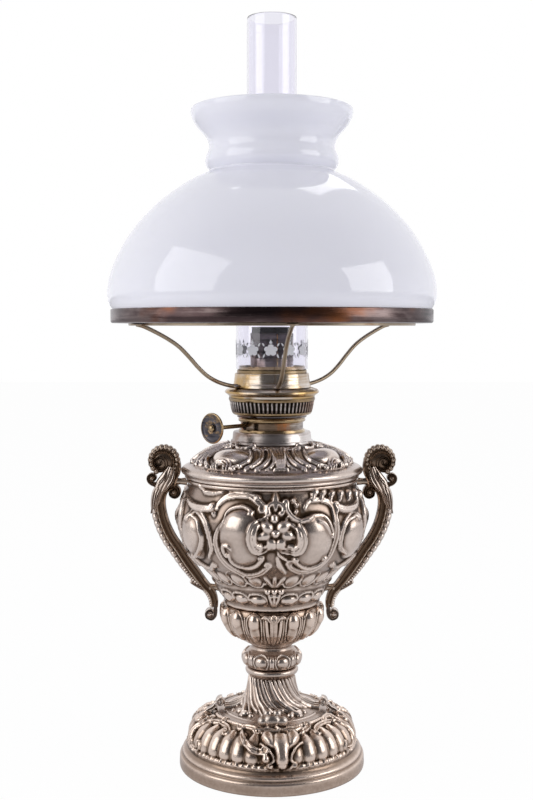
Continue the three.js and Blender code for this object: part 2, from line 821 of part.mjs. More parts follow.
// Air basket: a cupped ring with upright slots all round
const basketBottom = tubeFlangeTop + seatGap;
const basketTop = basketBottom + basketHeight;
const basketOutlineShares = [
  [0.83, 0],
  [0.915, 0.18],
  [1, 1],
];
const slotFromShare = 0.22;
const slotToShare = 0.87;
const slotWidthShare = 0.52;

// One slot and one bar at a time: walls, sills and heads of a thin conical band.
function slottedBand() {
  const outer = outline(basketOutlineShares, basketRadius, basketBottom, basketHeight);
  const inner = outline(basketOutlineShares, basketRadius - sheetWall, basketBottom, basketHeight);
  const section = [...outer, ...inner.reverse(), outer[0]];
  const slotGeometry = new THREE.BoxGeometry(
    (fullTurn * basketRadius * slotWidthShare) / basketSlots,
    basketRadius / 3,
    basketHeight * (slotToShare - slotFromShare),
  );
  slotGeometry.translate(0, -basketRadius, basketBottom + (basketHeight * (slotFromShare + slotToShare)) / 2);
  const slot = toSolid(slotGeometry);
  let band = turned(section, basketSlots);
  for (let k = 0; k < basketSlots; k += 1) {
    band = band.subtract(slot.rotate([0, 0, ((k + 0.5) * 360) / basketSlots]));
  }
  return band;
}

place("air_basket", slottedBand(), brass);

// Gallery flange: the rolled lip on which the shade holder stands
const flangeBottom = basketTop + seatGap;
const flangeTop = flangeBottom + flangeHeight;
const flangeBore = crownRadius + seatGap;
const flangeOuterShares = [
  [0.905, 0],
  [0.92, 0.22],
  [1, 0.52],
  [0.988, 0.8],
  [0.86, 1],
];
const flangeInnerShares = [
  [0.83, 0.87],
  [0.945, 0.68],
  [0.885, 0.28],
  [0.875, 0],
];
const flangeOuter = outline(flangeOuterShares, flangeRadius, flangeBottom, flangeHeight);
const flangeInner = outline(flangeInnerShares, flangeRadius, flangeBottom, flangeHeight);
const flangeSection = [
  ...flangeOuter,
  new THREE.Vector2(flangeBore, flangeTop),
  new THREE.Vector2(flangeBore, flangeInner[0].y),
  ...flangeInner,
  flangeOuter[0],
];
place("gallery_flange", turned(flangeSection, 20), brass);

// Chimney gallery: a crown on a pierced floor, with a thin lip inside the glass
const crownBottom = flangeBottom + flangeHeight * 0.2;
const crownTop = flangeTop + crownRise;
const crownInner = crownRadius - sheetWall;
const lipRadius = chimneyRadius - chimneyWall - seatGap;
const crownSection = [
  new THREE.Vector2(wickTubeRadius + seatGap, crownBottom),
  new THREE.Vector2(crownRadius, crownBottom),
  new THREE.Vector2(crownRadius, crownTop),
  new THREE.Vector2(lipRadius, crownTop),
  new THREE.Vector2(lipRadius, crownTop + crownLip),
  new THREE.Vector2(lipRadius - sheetWall, crownTop + crownLip),
  new THREE.Vector2(lipRadius - sheetWall, crownTop - sheetWall),
  new THREE.Vector2(crownInner, crownTop - sheetWall * 3),
  new THREE.Vector2(crownInner, crownBottom + sheetWall),
  new THREE.Vector2(wickTubeRadius + seatGap, crownBottom + sheetWall),
  new THREE.Vector2(wickTubeRadius + seatGap, crownBottom),
];
place("chimney_gallery", turned(crownSection, 20), brass);

// Wick: rolled round the draught tube above, a flat strap down into the oil below
const wickTop = wickTubeTopHeight + wickStandsProud;
const rolledBottom = wickTop - wickRolledLength;
const strapTop = rolledBottom + wickThickness / 2;
const wickInner = draughtTubeRadius + seatGap;
const wickOuter = Math.min(wickInner + wickThickness, wickTubeBore - seatGap);
const slitHalf = (wickSlitDegrees / 2) * degree;
const wickShape = new THREE.Shape();
wickShape.absarc(0, 0, wickOuter, slitHalf, fullTurn - slitHalf, false);
wickShape.absarc(0, 0, wickInner, fullTurn - slitHalf, slitHalf, true);
const rolled = new THREE.ExtrudeGeometry(wickShape, {
  depth: wickTop - rolledBottom,
  bevelEnabled: false,
  curveSegments: 10,
});
rolled.translate(0, 0, rolledBottom);
const strap = toSolid(block(wickWidth, wickThickness, strapTop - wickTail, strapTop));
const wick = toSolid(rolled).rotate([0, 0, -90]).add(strap).rotate([0, 0, spindleAzimuthDegrees]);
place("wick", wick, cotton);

// Winder: a spindle through the neck, two toothed wheels on the strap, and a disc knob with its cap nut
const spindleFrom = -neckHollowRadius * 0.9;
const spindleTo = spindleFrom + spindleLength;
const knobFrom = spindleTo + seatGap;
const tailRadius = spindleRadius * 0.6;
const knobTo = knobFrom + knobThickness;
const spindle = sideways(spindleRadius, spindleFrom, spindleTo, 0, 10).add(
  sideways(tailRadius, spindleTo - overrun, knobTo + seatGap * 2, 0, 8),
);
place("winder_spindle", ontoSpindle(spindle), brass);

function wheel(at) {
  const shape = new THREE.Shape();
  for (let k = 0; k < wheelTeeth * 2; k += 1) {
    const radius = k % 2 ? wheelRadius * 0.78 : wheelRadius;
    const angle = (k / (wheelTeeth * 2)) * fullTurn;
    const point = [radius * Math.cos(angle), radius * Math.sin(angle)];
    if (k) shape.lineTo(...point);
    else shape.moveTo(...point);
  }
  const hole = new THREE.Path();
  hole.absarc(0, 0, spindleRadius + seatGap, 0, fullTurn, true);
  shape.holes.push(hole);
  const geometry = new THREE.ExtrudeGeometry(shape, {
    depth: wheelThickness,
    bevelEnabled: false,
    curveSegments: 10,
  });
  geometry.rotateY(quarterTurn);
  geometry.translate(at - wheelThickness / 2, 0, 0);
  return ontoSpindle(toSolid(geometry));
}

place("winder_wheel_inner", wheel(-wheelSpacing / 2), brass);
place("winder_wheel_outer", wheel(wheelSpacing / 2), brass);

// A piece turned round the spindle: points give a radius and a distance along it.
function turnedOnSpindle(points, segments) {
  return ontoSpindle(turned(points, segments).rotate([0, 90, 0]));
}

const knobSection = [
  new THREE.Vector2(tailRadius + seatGap, knobFrom),
  new THREE.Vector2(knobRadius, knobFrom),
  new THREE.Vector2(knobRadius, knobTo),
  new THREE.Vector2(knobRadius * 0.93, knobTo),
  new THREE.Vector2(knobRadius * 0.9, knobTo - knobRim),
  new THREE.Vector2(tailRadius + seatGap, knobTo - knobRim),
  new THREE.Vector2(tailRadius + seatGap, knobFrom),
];
place("winder_knob", turnedOnSpindle(knobSection, 20), bronzed);
const capFrom = knobTo - knobRim + seatGap;
const capSection = [
  new THREE.Vector2(tailRadius + seatGap, capFrom),
  new THREE.Vector2(capRadius, capFrom),
  new THREE.Vector2(capRadius * 0.8, capFrom + capRadius * 0.5),
  new THREE.Vector2(0, capFrom + capRadius * 0.75),
  new THREE.Vector2(0, knobTo + seatGap * 3),
  new THREE.Vector2(tailRadius + seatGap, knobTo + seatGap * 3),
  new THREE.Vector2(tailRadius + seatGap, capFrom),
];
place("knob_cap_nut", turnedOnSpindle(capSection, 10), brass);

// Glass chimney: a straight bell over the flame, a pinched shoulder and a long tapering tube
const chimneyBottom = crownTop + seatGap;
const chimneyOutlineShares = [
  [1, 0],
  [1, 0.2],
  [0.985, 0.228],
  [0.74, 0.27],
  [0.69, 0.3],
  [0.7, 0.4],
  [0.684, 1],
];
const chimneyOuter = outline(chimneyOutlineShares, chimneyRadius, chimneyBottom, chimneyHeight);
const chimneyInner = chimneyOuter.map((point) => new THREE.Vector2(point.x - chimneyWall, point.y));
place("glass_chimney", turned([...chimneyOuter, ...chimneyInner.reverse(), chimneyOuter[0]], 20), clearGlass);

// Shade holder: a tapered collar that drops over the crown, three bent legs and the ring
const holderBottom = flangeTop + seatGap;
const holderTop = holderBottom + holderCollarHeight;
const holderLip = crownRadius + seatGap * 1.2;
const holderCollarSection = [
  new THREE.Vector2(holderCollarRadius - sheetWall, holderBottom),
  new THREE.Vector2(holderCollarRadius, holderBottom),
  new THREE.Vector2(holderCollarRadius * 0.966, holderBottom + holderCollarHeight * 0.49),
  new THREE.Vector2(holderCollarRadius * 0.945, holderTop - sheetWall),
  new THREE.Vector2(holderCollarRadius * 0.93, holderTop),
  new THREE.Vector2(holderLip, holderTop),
  new THREE.Vector2(holderLip, holderTop - sheetWall),
  new THREE.Vector2(holderCollarRadius * 0.966 - sheetWall, holderBottom + holderCollarHeight * 0.49),
  new THREE.Vector2(holderCollarRadius - sheetWall, holderBottom),
];
place("holder_collar", turned(holderCollarSection, 20), brass);

const ringBottom = holderBottom + ringRise;
const ringInner = ringRadius - ringShelf;
const padAtRadius = ringInner + padRadius + sheetWall;
const padTop = ringBottom - seatGap;
const padBottom = padTop - padThickness;
const frontLegDegrees = -83;
const rightLegDegrees = 32.5;
const leftLegDegrees = 211;
const legTurns = { front: frontLegDegrees, right: rightLegDegrees, left: leftLegDegrees };
const legPathShares = [
  [0, 0.035],
  [0.1, 0.05],
  [0.33, 0.13],
  [0.53, 0.4],
  [0.74, 0.79],
  [0.86, 0.93],
  [1, 1],
];

function holderLeg(azimuthDegrees) {
  const legStart = holderCollarRadius + seatGap;
  const legEnd = padAtRadius - legStart;
  const rise = padBottom - holderBottom;
  const points = legPathShares.map(
    ([out, up]) => new THREE.Vector3(legStart + legEnd * out, 0, holderBottom + rise * up),
  );
  const section = new THREE.Shape();
  section.absarc(0, 0, legRadius, 0, fullTurn, false);
  const wire = new THREE.ExtrudeGeometry(section, {
    steps: 12,
    curveSegments: 3,
    bevelEnabled: false,
    extrudePath: new THREE.CatmullRomCurve3(points),
  });
  const pad = cylinder(padRadius, padBottom - legRadius / 2, padTop, 12).translate([padAtRadius, 0, 0]);
  return toSolid(wire).add(pad).rotate([0, 0, azimuthDegrees]);
}

for (const [side, azimuthDegrees] of Object.entries(legTurns)) {
  place(`holder_leg_${side}`, holderLeg(azimuthDegrees), bronzed);
}

const ringTop = ringBottom + ringHeight;
const channelRadius = ringRadius - ringWall;
const ringSection = [
  new THREE.Vector2(ringInner, ringBottom),
  new THREE.Vector2(channelRadius, ringBottom),
  new THREE.Vector2(ringRadius, ringBottom + ringWall),
  new THREE.Vector2(ringRadius, ringTop),
  new THREE.Vector2(channelRadius, ringTop),
  new THREE.Vector2(channelRadius, ringBottom + ringWall),
  new THREE.Vector2(ringInner, ringBottom + ringWall),
  new THREE.Vector2(ringInner, ringBottom),
];
place("shade_ring", turned(ringSection, 32), darkCopper);

// Opal shade: a rim that stands in the ring, a full dome, a pinched neck and a flared crown
const shadeBottom = ringBottom + ringWall + seatGap;
const rimRadius = channelRadius - seatGap;
const shadeRadius = ringRadius + shadeBelly;
const shadeOutlineShares = [
  [0.983, 0.071],
  [1, 0.118],
  [0.989, 0.195],
  [0.932, 0.313],
  [0.856, 0.412],
  [0.727, 0.53],
  [0.52, 0.655],
  [0.405, 0.703],
  [0.38, 0.712],
  [0.403, 0.76],
  [0.383, 0.825],
  [0.392, 0.855],
  [0.47, 0.935],
  [0.49, 1],
];
const shadeOuter = outline(shadeOutlineShares, shadeRadius, shadeBottom, shadeHeight);
const shadeRim = [
  new THREE.Vector2(rimRadius, shadeBottom),
  new THREE.Vector2(rimRadius, ringTop - seatGap),
];
const shadeBack = [...shadeRim, ...shadeOuter].filter((point, i, all) => i % 3 === 0 || i === all.length - 1);
const shadeInner = shadeBack.map((point) => new THREE.Vector2(point.x - shadeWall, point.y));
const shadeSection = [...shadeRim, ...shadeOuter, ...shadeInner.reverse(), shadeRim[0]];
place("opal_shade", turned(shadeSection, 32), opalGlass);

export default lamp;
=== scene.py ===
import math

import bpy
import numpy as np
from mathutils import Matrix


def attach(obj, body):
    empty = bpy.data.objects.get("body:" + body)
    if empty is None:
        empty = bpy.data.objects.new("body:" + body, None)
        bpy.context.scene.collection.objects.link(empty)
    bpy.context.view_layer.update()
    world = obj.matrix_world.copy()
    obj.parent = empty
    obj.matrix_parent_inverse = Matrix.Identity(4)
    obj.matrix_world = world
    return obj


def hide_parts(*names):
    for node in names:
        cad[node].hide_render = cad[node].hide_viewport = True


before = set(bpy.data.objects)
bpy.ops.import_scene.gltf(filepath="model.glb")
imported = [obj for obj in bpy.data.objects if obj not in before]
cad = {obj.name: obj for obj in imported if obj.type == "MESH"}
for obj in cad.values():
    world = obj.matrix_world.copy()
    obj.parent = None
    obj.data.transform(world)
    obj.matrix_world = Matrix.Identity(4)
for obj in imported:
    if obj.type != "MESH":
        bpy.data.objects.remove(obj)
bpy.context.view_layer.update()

# The lamp stands on a white studio table before a white wall. The camera looks a little down on it from
# 0.87 m, level with the ring of its shade.
camera_tilt = 0.0634
camera_distance = 0.865
camera_height = 0.3292
camera_data = bpy.data.cameras.new("camera")
camera_data.lens = 52.4
camera = bpy.data.objects.new("camera", camera_data)
camera.location = (-0.0040, -camera_distance, camera_height)
camera.rotation_euler = (math.pi / 2 - camera_tilt, 0, 0)
bpy.context.scene.collection.objects.link(camera)
bpy.context.scene.camera = camera
bpy.context.scene.view_settings.view_transform = "Standard"


class Signal:
    """One output in a node tree. Arithmetic on it adds Math nodes."""

    def __init__(self, tree, socket):
        self.tree = tree
        self.socket = socket

    def combine(self, operation, first, second, clamp=False):
        settings = {"operation": operation, "use_clamp": clamp}
        return self.tree.node("ShaderNodeMath", settings, {0: first, 1: second})

    def __add__(self, other):
        return self.combine("ADD", self, other)

    __radd__ = __add__

    def __sub__(self, other):
        return self.combine("SUBTRACT", self, other)

    def __rsub__(self, other):
        return self.combine("SUBTRACT", other, self)

    def __mul__(self, other):
        return self.combine("MULTIPLY", self, other)

    __rmul__ = __mul__

    def clamped(self):
        return self.combine("ADD", self, 0.0, clamp=True)


class Tree:
    """A node tree, filled by one method."""

    def __init__(self, owner):
        owner.use_nodes = True
        self.owner = owner
        self.nodes = owner.node_tree.nodes
        self.links = owner.node_tree.links
        self.nodes.clear()

    def node(self, kind, settings=None, inputs=None, output=0):
        made = self.nodes.new(kind)
        for key, value in (settings or {}).items():
            setattr(made, key, value)
        for key, value in (inputs or {}).items():
            if isinstance(value, Signal):
                self.links.new(value.socket, made.inputs[key])
            else:
                made.inputs[key].default_value = value
        return Signal(self, made.outputs[output] if made.outputs else None)

    def mix(self, factor, first, second):
        """Two colours, each a signal or (red, green, blue)."""
        first, second = [color if isinstance(color, Signal) else (*color, 1) for color in (first, second)]
        return self.node("ShaderNodeMix", {"data_type": "RGBA"}, {0: factor, 6: first, 7: second}, 2)

    def step(self, value, low, high):
        settings = {"interpolation_type": "SMOOTHSTEP"}
        return self.node("ShaderNodeMapRange", settings, {0: value, 1: low, 2: high})

    def noise(self, scale, detail=3.0, roughness=0.5, stretch=None):
        where = self.node("ShaderNodeTexCoord", output=3)
        if stretch:
            where = self.node("ShaderNodeMapping", {}, {0: where, 3: stretch})
        values = {0: where, "Scale": scale, "Detail": detail, "Roughness": roughness}
        return self.node("ShaderNodeTexNoise", {}, values)

    def surface(self, values):
        """Closes a material with one shader and gives the material."""
        shader = self.node("ShaderNodeBsdfPrincipled", {}, values)
        self.node("ShaderNodeOutputMaterial", {}, {0: shader})
        return self.owner


# The wall is white for the camera. Polished metal sees it white behind the lamp and dark on the camera's
# side, clear glass sees it white and light grey, and its light on the lamp is an even grey.
studio = bpy.data.worlds.new("studio")
bpy.context.scene.world = studio
room = Tree(studio)
direction = room.node("ShaderNodeTexCoord", output=0)
depth = room.node("ShaderNodeSeparateXYZ", {}, {0: direction}, 1)
behind = room.step(depth, -0.55, 0.35)
seen = room.node("ShaderNodeLightPath", output=0)
mirrored = room.node("ShaderNodeLightPath", output=3)
through = room.node("ShaderNodeLightPath", output=6)
white_wall = (0.97, 0.97, 1.0)
wall = room.mix(behind, (0.11, 0.11, 0.12), white_wall)
beyond = room.mix(behind, (0.50, 0.50, 0.54), white_wall)
lit = room.mix(through, room.mix(mirrored, (0.38, 0.38, 0.41), wall), beyond)
color = room.mix(seen, lit, (1, 1, 1))
sky = room.node("ShaderNodeBackground", {}, {"Color": color, "Strength": 1.0})
room.node("ShaderNodeOutputWorld", {}, {0: sky})


# Three square softboxes light the lamp, from the left, from the right, and from above behind it. The table is
# white paper. The camera sees it as bright as the wall, also through glass, and metal mirrors it dimmer.
def softbox(name, place, aim, size, watts):
    """A square lamp that points at a spot, both in metres."""
    data = bpy.data.lights.new(name, "AREA")
    data.size = size
    data.energy = watts
    lamp = bpy.data.objects.new(name, data)
    lamp.location = place
    towards = np.array(aim, float) - np.array(place, float)
    flat = math.hypot(towards[0], towards[1])
    lamp.rotation_euler = (math.pi / 2 + math.atan2(towards[2], flat), 0, math.atan2(-towards[0], towards[1]))
    bpy.context.scene.collection.objects.link(lamp)


softbox("left_softbox", (-1.28, -0.72, 0.90), (0, 0, 0.27), size=1.35, watts=11.0)
softbox("right_softbox", (1.30, -0.50, 0.70), (0, 0, 0.22), size=0.9, watts=6.5)
softbox("top_softbox", (0.1, 0.85, 1.55), (0, 0, 0.3), size=0.9, watts=4.5)

floor_mesh = bpy.data.meshes.new("floor")
floor_mesh.from_pydata([(-6, -3, 0), (6, -3, 0), (6, 6, 0), (-6, 6, 0)], [], [(0, 1, 2, 3)])
floor = bpy.data.objects.new("floor", floor_mesh)
bpy.context.scene.collection.objects.link(floor)
paper = Tree(bpy.data.materials.new("white_paper"))
matt = paper.node("ShaderNodeBsdfPrincipled", {}, {"Base Color": (0.93, 0.93, 0.94, 1), "Roughness": 0.9})
glow = paper.node("ShaderNodeEmission", {}, {"Color": (1, 1, 1, 1), "Strength": 1.0})
camera_ray = paper.node("ShaderNodeLightPath", output=0)
glossy_ray = paper.node("ShaderNodeLightPath", output=3)
clear_ray = paper.node("ShaderNodeLightPath", output=6)
white_share = (camera_ray * 0.975 + glossy_ray * 0.2 + clear_ray * 0.975).clamped()
sheet = paper.node("ShaderNodeMixShader", {}, {0: white_share, 1: matt, 2: glow})
paper.node("ShaderNodeOutputMaterial", {}, {0: sheet})
floor_mesh.materials.append(paper.owner)

# The foot is a heavy casting in silvered white metal. Its relief is cast with it: 36 lobes over a corded
# moulding, scrolls on each quarter, and a hanging leaf at the front and the back. Brown patina and painted
# occlusion shade lie in the hollows.
MM = 0.001


def add_piece(name, shape, finish, body, replaced, sharp=None):
    """A smooth mesh from (points in millimetres, faces) that rides on a body and stands for CAD nodes."""
    points, faces = shape
    mesh = bpy.data.meshes.new(name)
    mesh.from_pydata((np.asarray(points, float) * MM).tolist(), [], [tuple(face) for face in faces])
    mesh.polygons.foreach_set("use_smooth", [True] * len(mesh.polygons))
    if sharp:
        mesh.set_sharp_from_angle(angle=math.radians(sharp))
    mesh.materials.append(finish)
    piece = bpy.data.objects.new(name, mesh)
    bpy.context.scene.collection.objects.link(piece)
    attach(piece, body)
    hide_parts(*replaced)
    return piece


def grid_faces(rows, columns, closed_rows=True):
    """Quads of a sheet of points that closes on itself across, and if asked from its last row to its first."""
    last = rows if closed_rows else rows - 1
    r, c = np.meshgrid(np.arange(last), np.arange(columns), indexing="ij")
    up, across = (r + 1) % rows, (c + 1) % columns
    quads = np.stack([r * columns + c, r * columns + across, up * columns + across, up * columns + c], -1)
    return quads.reshape(-1, 4).tolist()


def smooth_line(points, spacing):
    """A curve through the points, as many short steps."""
    points = np.asarray(points, float)
    padded = np.vstack([2 * points[0] - points[1], points, 2 * points[-1] - points[-2]])
    out = []
    for i in range(1, len(padded) - 2):
        p0, p1, p2, p3 = padded[i - 1 : i + 3]
        steps = max(2, int(np.linalg.norm(p2 - p1) / spacing))
        t = np.linspace(0, 1, steps, endpoint=False)[:, None]
        straight = 2 * p1 + (p2 - p0) * t
        out.append(
            0.5 * (straight + (2 * p0 - 5 * p1 + 4 * p2 - p3) * t**2 + (3 * p1 - p0 - 3 * p2 + p3) * t**3)
        )
    return np.vstack(out + [points[-1:]])


def headings(line):
    """The direction of a line at each of its points."""
    tangent = np.gradient(line, axis=0)
    return tangent / np.maximum(np.linalg.norm(tangent, axis=1), 1e-6)[:, None]


def way_along(line):
    """How far along a line each of its points lies."""
    return np.concatenate([[0], np.cumsum(np.hypot(*np.diff(line, axis=0).T))])


def curled(line, radius):
    """The line with a shrinking spiral added at its end. A negative radius curls to the right."""
    if not radius:
        return line
    heading = math.atan2(*(line[-1] - line[-2])[::-1])
    steps = 26
    turn = 1.15 * 2 * math.pi / steps
    spiral = [line[-1]]
    for k in range(steps):
        size = abs(radius) * (1 - 0.72 * k / steps)
        heading += math.copysign(turn, radius)
        spiral.append(spiral[-1] + size * turn * np.array([math.cos(heading), math.sin(heading)]))
    return np.vstack([line, spiral[1:]])


def rounded(t):
    return np.sqrt(np.clip(1 - t * t, 0, 1))


def channelled(t):
    return np.clip(0.38 + 0.75 * t * t, 0, 1) * np.sqrt(np.clip((1 - np.abs(t)) / 0.25, 0, 1))


def fluted(t):
    return rounded(t) * (0.78 + 0.22 * np.cos(t * math.pi * 4))


def veined(t):
    return rounded(t) * (1 - 0.45 * np.exp(-((t / 0.22) ** 2)))


def smooth_rows(line, cells):
    weights = np.exp(-0.5 * (np.arange(-3 * cells, 3 * cells + 1) / cells) ** 2)
    padded = np.pad(line, 3 * cells, mode="edge")
    return np.convolve(padded, weights / weights.sum(), mode="valid")


def blurred(field, cells):
    offsets = np.arange(-2 * cells, 2 * cells + 1)
    weights = np.exp(-0.5 * (offsets / cells) ** 2)
    weights /= weights.sum()
    across = sum(w * np.roll(field, k, 1) for k, w in zip(offsets, weights))
    padded = np.pad(across, ((2 * cells, 2 * cells), (0, 0)), mode="edge")
    rows = field.shape[0]
    return sum(w * padded[k + 2 * cells : k + 2 * cells + rows] for k, w in zip(offsets, weights))


class Casting:
    """The skin of a turned casting as a grid of angles and of steps up its outline, with relief raised on it.

    Points of relief are (degrees from the front, z), counted from an angle and mirrored where side is -1.
    """

    def __init__(self, outside, inside, step, columns):
        outside = np.array(outside, float)
        lengths = way_along(outside)
        self.way = np.linspace(0, lengths[-1], int(lengths[-1] / step) + 1)
        self.radius = np.interp(self.way, lengths, outside[:, 0])
        self.height = np.interp(self.way, lengths, outside[:, 1])
        for line in (self.radius, self.height, self.radius, self.height):
            line[1:-1] = (line[:-2] + 2 * line[1:-1] + line[2:]) / 4
        self.inside = np.array(inside, float)
        self.angle = np.linspace(-math.pi, math.pi, columns, endpoint=False)
        self.rise = np.zeros((len(self.way), columns))
        self.ground = self.rise.copy()

    def settle(self):
        """What is raised so far becomes the ground for what follows."""
        self.ground = self.rise.copy()

    def up(self, z):
        return np.interp(z, self.height, self.way)

    def placed(self, points, at, side=1):
        """Points as (radians, way up the outline), and the radius midway between them."""
        where = np.array([(math.radians(at + side * a), self.up(z)) for a, z in points])
        return where, np.interp(where[:, 1].mean(), self.way, self.radius)

    def window(self, low, high, left, right):
        rows = np.where((self.way >= low) & (self.way <= high))[0]
        middle, half = (left + right) / 2, (right - left) / 2
        offset = (self.angle - middle + math.pi) % (2 * math.pi) - math.pi
        columns = np.where(np.abs(offset) <= half)[0]
        return rows, columns, middle + offset[columns]

    def raise_to(self, rows, columns, value, inside):
        spot = np.ix_(rows, columns)
        raised = np.where(inside, self.ground[spot] + value, self.rise[spot])
        self.rise[spot] = np.maximum(self.rise[spot], raised)

    def boss(self, at, z, across, tall, height, tilt=0, power=0.5):
        """An oval swelling: half widths in millimetres, tilt in degrees."""
        angle, way = math.radians(at), self.up(z)
        reach = max(across, tall)
        turn = 1.2 * reach / max(np.interp(way, self.way, self.radius), 5)
        rows, columns, angles = self.window(way - reach, way + reach, angle - turn, angle + turn)
        x = (angles[None, :] - angle) * self.radius[rows][:, None]
        y = self.way[rows][:, None] - way + 0 * x
        cosine, sine = math.cos(math.radians(tilt)), math.sin(math.radians(tilt))
        far = ((x * cosine + y * sine) / across) ** 2 + ((y * cosine - x * sine) / tall) ** 2
        self.raise_to(rows, columns, height * np.clip(1 - far, 0, 1) ** power, far < 1)

    def stroke(self, points, width, height, section=rounded, ends=(0.5, 0.5), curls=(0, 0), at=0, side=1):
        """A raised line through the points. It thins to a share of its width at an end, which may curl."""
        where, radius = self.placed(points, at, side)
        line = smooth_line(where * [radius, 1], 0.5)
        line = curled(line, side * curls[1])
        line = curled(line[::-1], -side * curls[0])[::-1]
        tangent = headings(line)
        share = np.linspace(0, 1, len(line))
        taper = 0.45
        thin = 1
        for end, way in zip(ends, (share, 1 - share)):
            thin = thin * (end + (1 - end) * np.sin(np.clip(way / taper, 0, 1) * math.pi / 2))
        half = width / 2 * thin
        angle, way = line[:, 0] / radius, line[:, 1]
        pad = width / 2
        turn = pad / radius * 1.5
        low, high = way.min() - pad, way.max() + pad
        rows, columns, angles = self.window(low, high, angle.min() - turn, angle.max() + turn)
        dx = (angles[None, :, None] - angle) * self.radius[rows][:, None, None]
        dy = self.way[rows][:, None, None] - way + 0 * dx
        near = np.argmin(dx * dx + dy * dy, axis=2)
        pick = near[..., None]
        dx = np.take_along_axis(dx, pick, 2)[..., 0]
        dy = np.take_along_axis(dy, pick, 2)[..., 0]
        hand = np.sign(tangent[near, 0] * dy - tangent[near, 1] * dx)
        share = hand * np.hypot(dx, dy) / half[near]
        tall = height * (0.45 + 0.55 * thin[near])
        self.raise_to(rows, columns, tall * section(np.clip(share, -1, 1)), np.abs(share) < 1)

    def panel(self, points, height, soft, at):
        """A raised field inside a closed curve through the points, its edge rounded over a width."""
        where, radius = self.placed(points, at)
        edge = smooth_line(np.vstack([where, where[:1]]) * [radius, 1], 0.8)
        angle = edge[:, 0] / radius
        rows, columns, angles = self.window(edge[:, 1].min(), edge[:, 1].max(), angle.min(), angle.max())
        x, y = np.meshgrid(angles * radius, self.way[rows])
        inside = np.zeros(x.shape, bool)
        near = np.full(x.shape, 1e9)
        for (x0, y0), (x1, y1) in zip(edge[:-1], edge[1:]):
            if y0 != y1:
                inside ^= ((y0 > y) != (y1 > y)) & (x < (x1 - x0) * (y - y0) / (y1 - y0) + x0)
            near = np.minimum(near, np.hypot(x - x0, y - y0))
        depth = 1 - np.clip(near / soft, 0, 1)
        self.raise_to(rows, columns, height * np.sqrt(1 - depth * depth), inside)

    def skin(self):
        """Points of the skin, its faces, and its wear and painted shade: 0 in a hollow, 1 on a height."""
        slope_r, slope_z = np.gradient(self.radius), np.gradient(self.height)
        size = np.hypot(slope_r, slope_z)
        rise = (self.rise + blurred(self.rise, 1)) / 2
        radius = self.radius[:, None] + rise * (slope_z / size)[:, None]
        z = self.height[:, None] + rise * (-slope_r / size)[:, None]
        inner = np.repeat(self.inside[:, :1], len(self.angle), 1)
        inner_z = np.repeat(self.inside[:, 1:], len(self.angle), 1)
        radius, z = np.vstack([radius, inner]), np.vstack([z, inner_z])
        points = np.stack([radius * np.sin(self.angle), -radius * np.cos(self.angle), z], -1).reshape(-1, 3)
        # Low in the relief's hollows and the outline's grooves: patina, and painted occlusion shade from the
        # wide blur.
        level = rise + 0.6 * (self.radius - smooth_rows(self.radius, 6))[:, None]
        wear_and_shade = 0.6 + (level - blurred(level, 2)) / 1.3 + (level - blurred(level, 6)) / 4.5
        wear_and_shade = np.vstack([np.clip(wear_and_shade, 0, 1), np.full(inner.shape, 0.25)])
        return points, grid_faces(len(radius), len(self.angle)), wear_and_shade.reshape(-1)


def metal(name, hollow, plain, crest, rough, stain=None, stain_scale=14.0, relief=True):
    """Cast or sheet metal: patina and painted occlusion shade in the hollows, a dull middle tone, and polish
    on the heights.
    """
    tree = Tree(bpy.data.materials.new(name))
    cloud = tree.noise(22.0, 5.0, 0.6)
    fine = tree.noise(420.0, 3.0, 0.6)
    # The hollows' patina and painted occlusion shade come from the relief, or else from the surface's
    # curvature.
    if relief:
        wear_and_shade = tree.node("ShaderNodeAttribute", {"attribute_name": "wear_and_shade"}, {}, 2)
    else:
        wear_and_shade = ((tree.node("ShaderNodeNewGeometry", {}, {}, 7) - 0.5) * 4.0 + 0.5).clamped()
    level = (wear_and_shade + (cloud - 0.5) * 0.34 + (fine - 0.5) * 0.16).clamped()
    low = tree.step(level, 0.08, 0.46)
    high = tree.step(level, 0.44, 0.86)
    color = tree.mix(high, tree.mix(low, hollow, plain), crest)
    if stain:
        patch = tree.step(tree.noise(stain_scale, 4.0, 0.65), 0.54, 0.7)
        color = tree.mix(patch * 0.7, color, stain)
    roughness = rough[0] + low * (rough[1] - rough[0]) + (cloud - 0.5) * 0.16
    grain = {"Strength": 0.06, "Distance": 0.001, "Height": fine + cloud * 0.5}
    pits = tree.node("ShaderNodeBump", {}, grain)
    values = {"Base Color": color, "Roughness": roughness.clamped(), "Metallic": 1.0, "Normal": pits}
    return tree.surface(values)


def add_casting(name, casting, finish, node, body="urn_and_foot"):
    points, faces, wear_and_shade = casting.skin()
    piece = add_piece(name, (points, faces), finish, body, [node])
    # Carries the casting's wear and painted occlusion shade to its finish.
    attribute = piece.data.attributes.new("wear_and_shade", "FLOAT", "POINT")
    attribute.data.foreach_set("value", wear_and_shade.astype(np.float32))


# A copy of the urn's silver with a darker middle tone, as painted shade on the foot and the lower cup.
shaded_silver = metal(
    "shaded_silver", (0.052, 0.030, 0.016), (0.325, 0.236, 0.180), (0.79, 0.648, 0.55), (0.43, 0.26)
)
foot_outside = [
    (69.4, 0.2), (69.7, 1.0), (69.4, 7.9), (68.9, 9.0), (67.6, 9.5), (67.0, 10.2), (67.6, 11.0),
    (67.5, 12.0), (66.6, 12.9), (65.0, 13.6), (64.2, 14.6), (63.6, 15.6), (62.6, 16.2), (62.3, 17.2),
    (61.9, 18.8), (61.0, 20.0), (60.6, 22.0), (60.0, 25.0), (58.6, 28.2), (56.2, 31.4), (53.0, 33.8),
    (49.4, 35.7), (46.0, 37.2), (43.2, 38.7), (41.6, 40.1), (41.0, 40.5),
]
foot_inside = [
    (38, 40.5), (3.4, 40.5), (3.4, 36), (18, 36), (36, 33), (49, 25), (58, 15.2), (63.6, 9.6), (63.7, 0.2),
]
foot = Casting(foot_outside, foot_inside, step=0.55, columns=660)
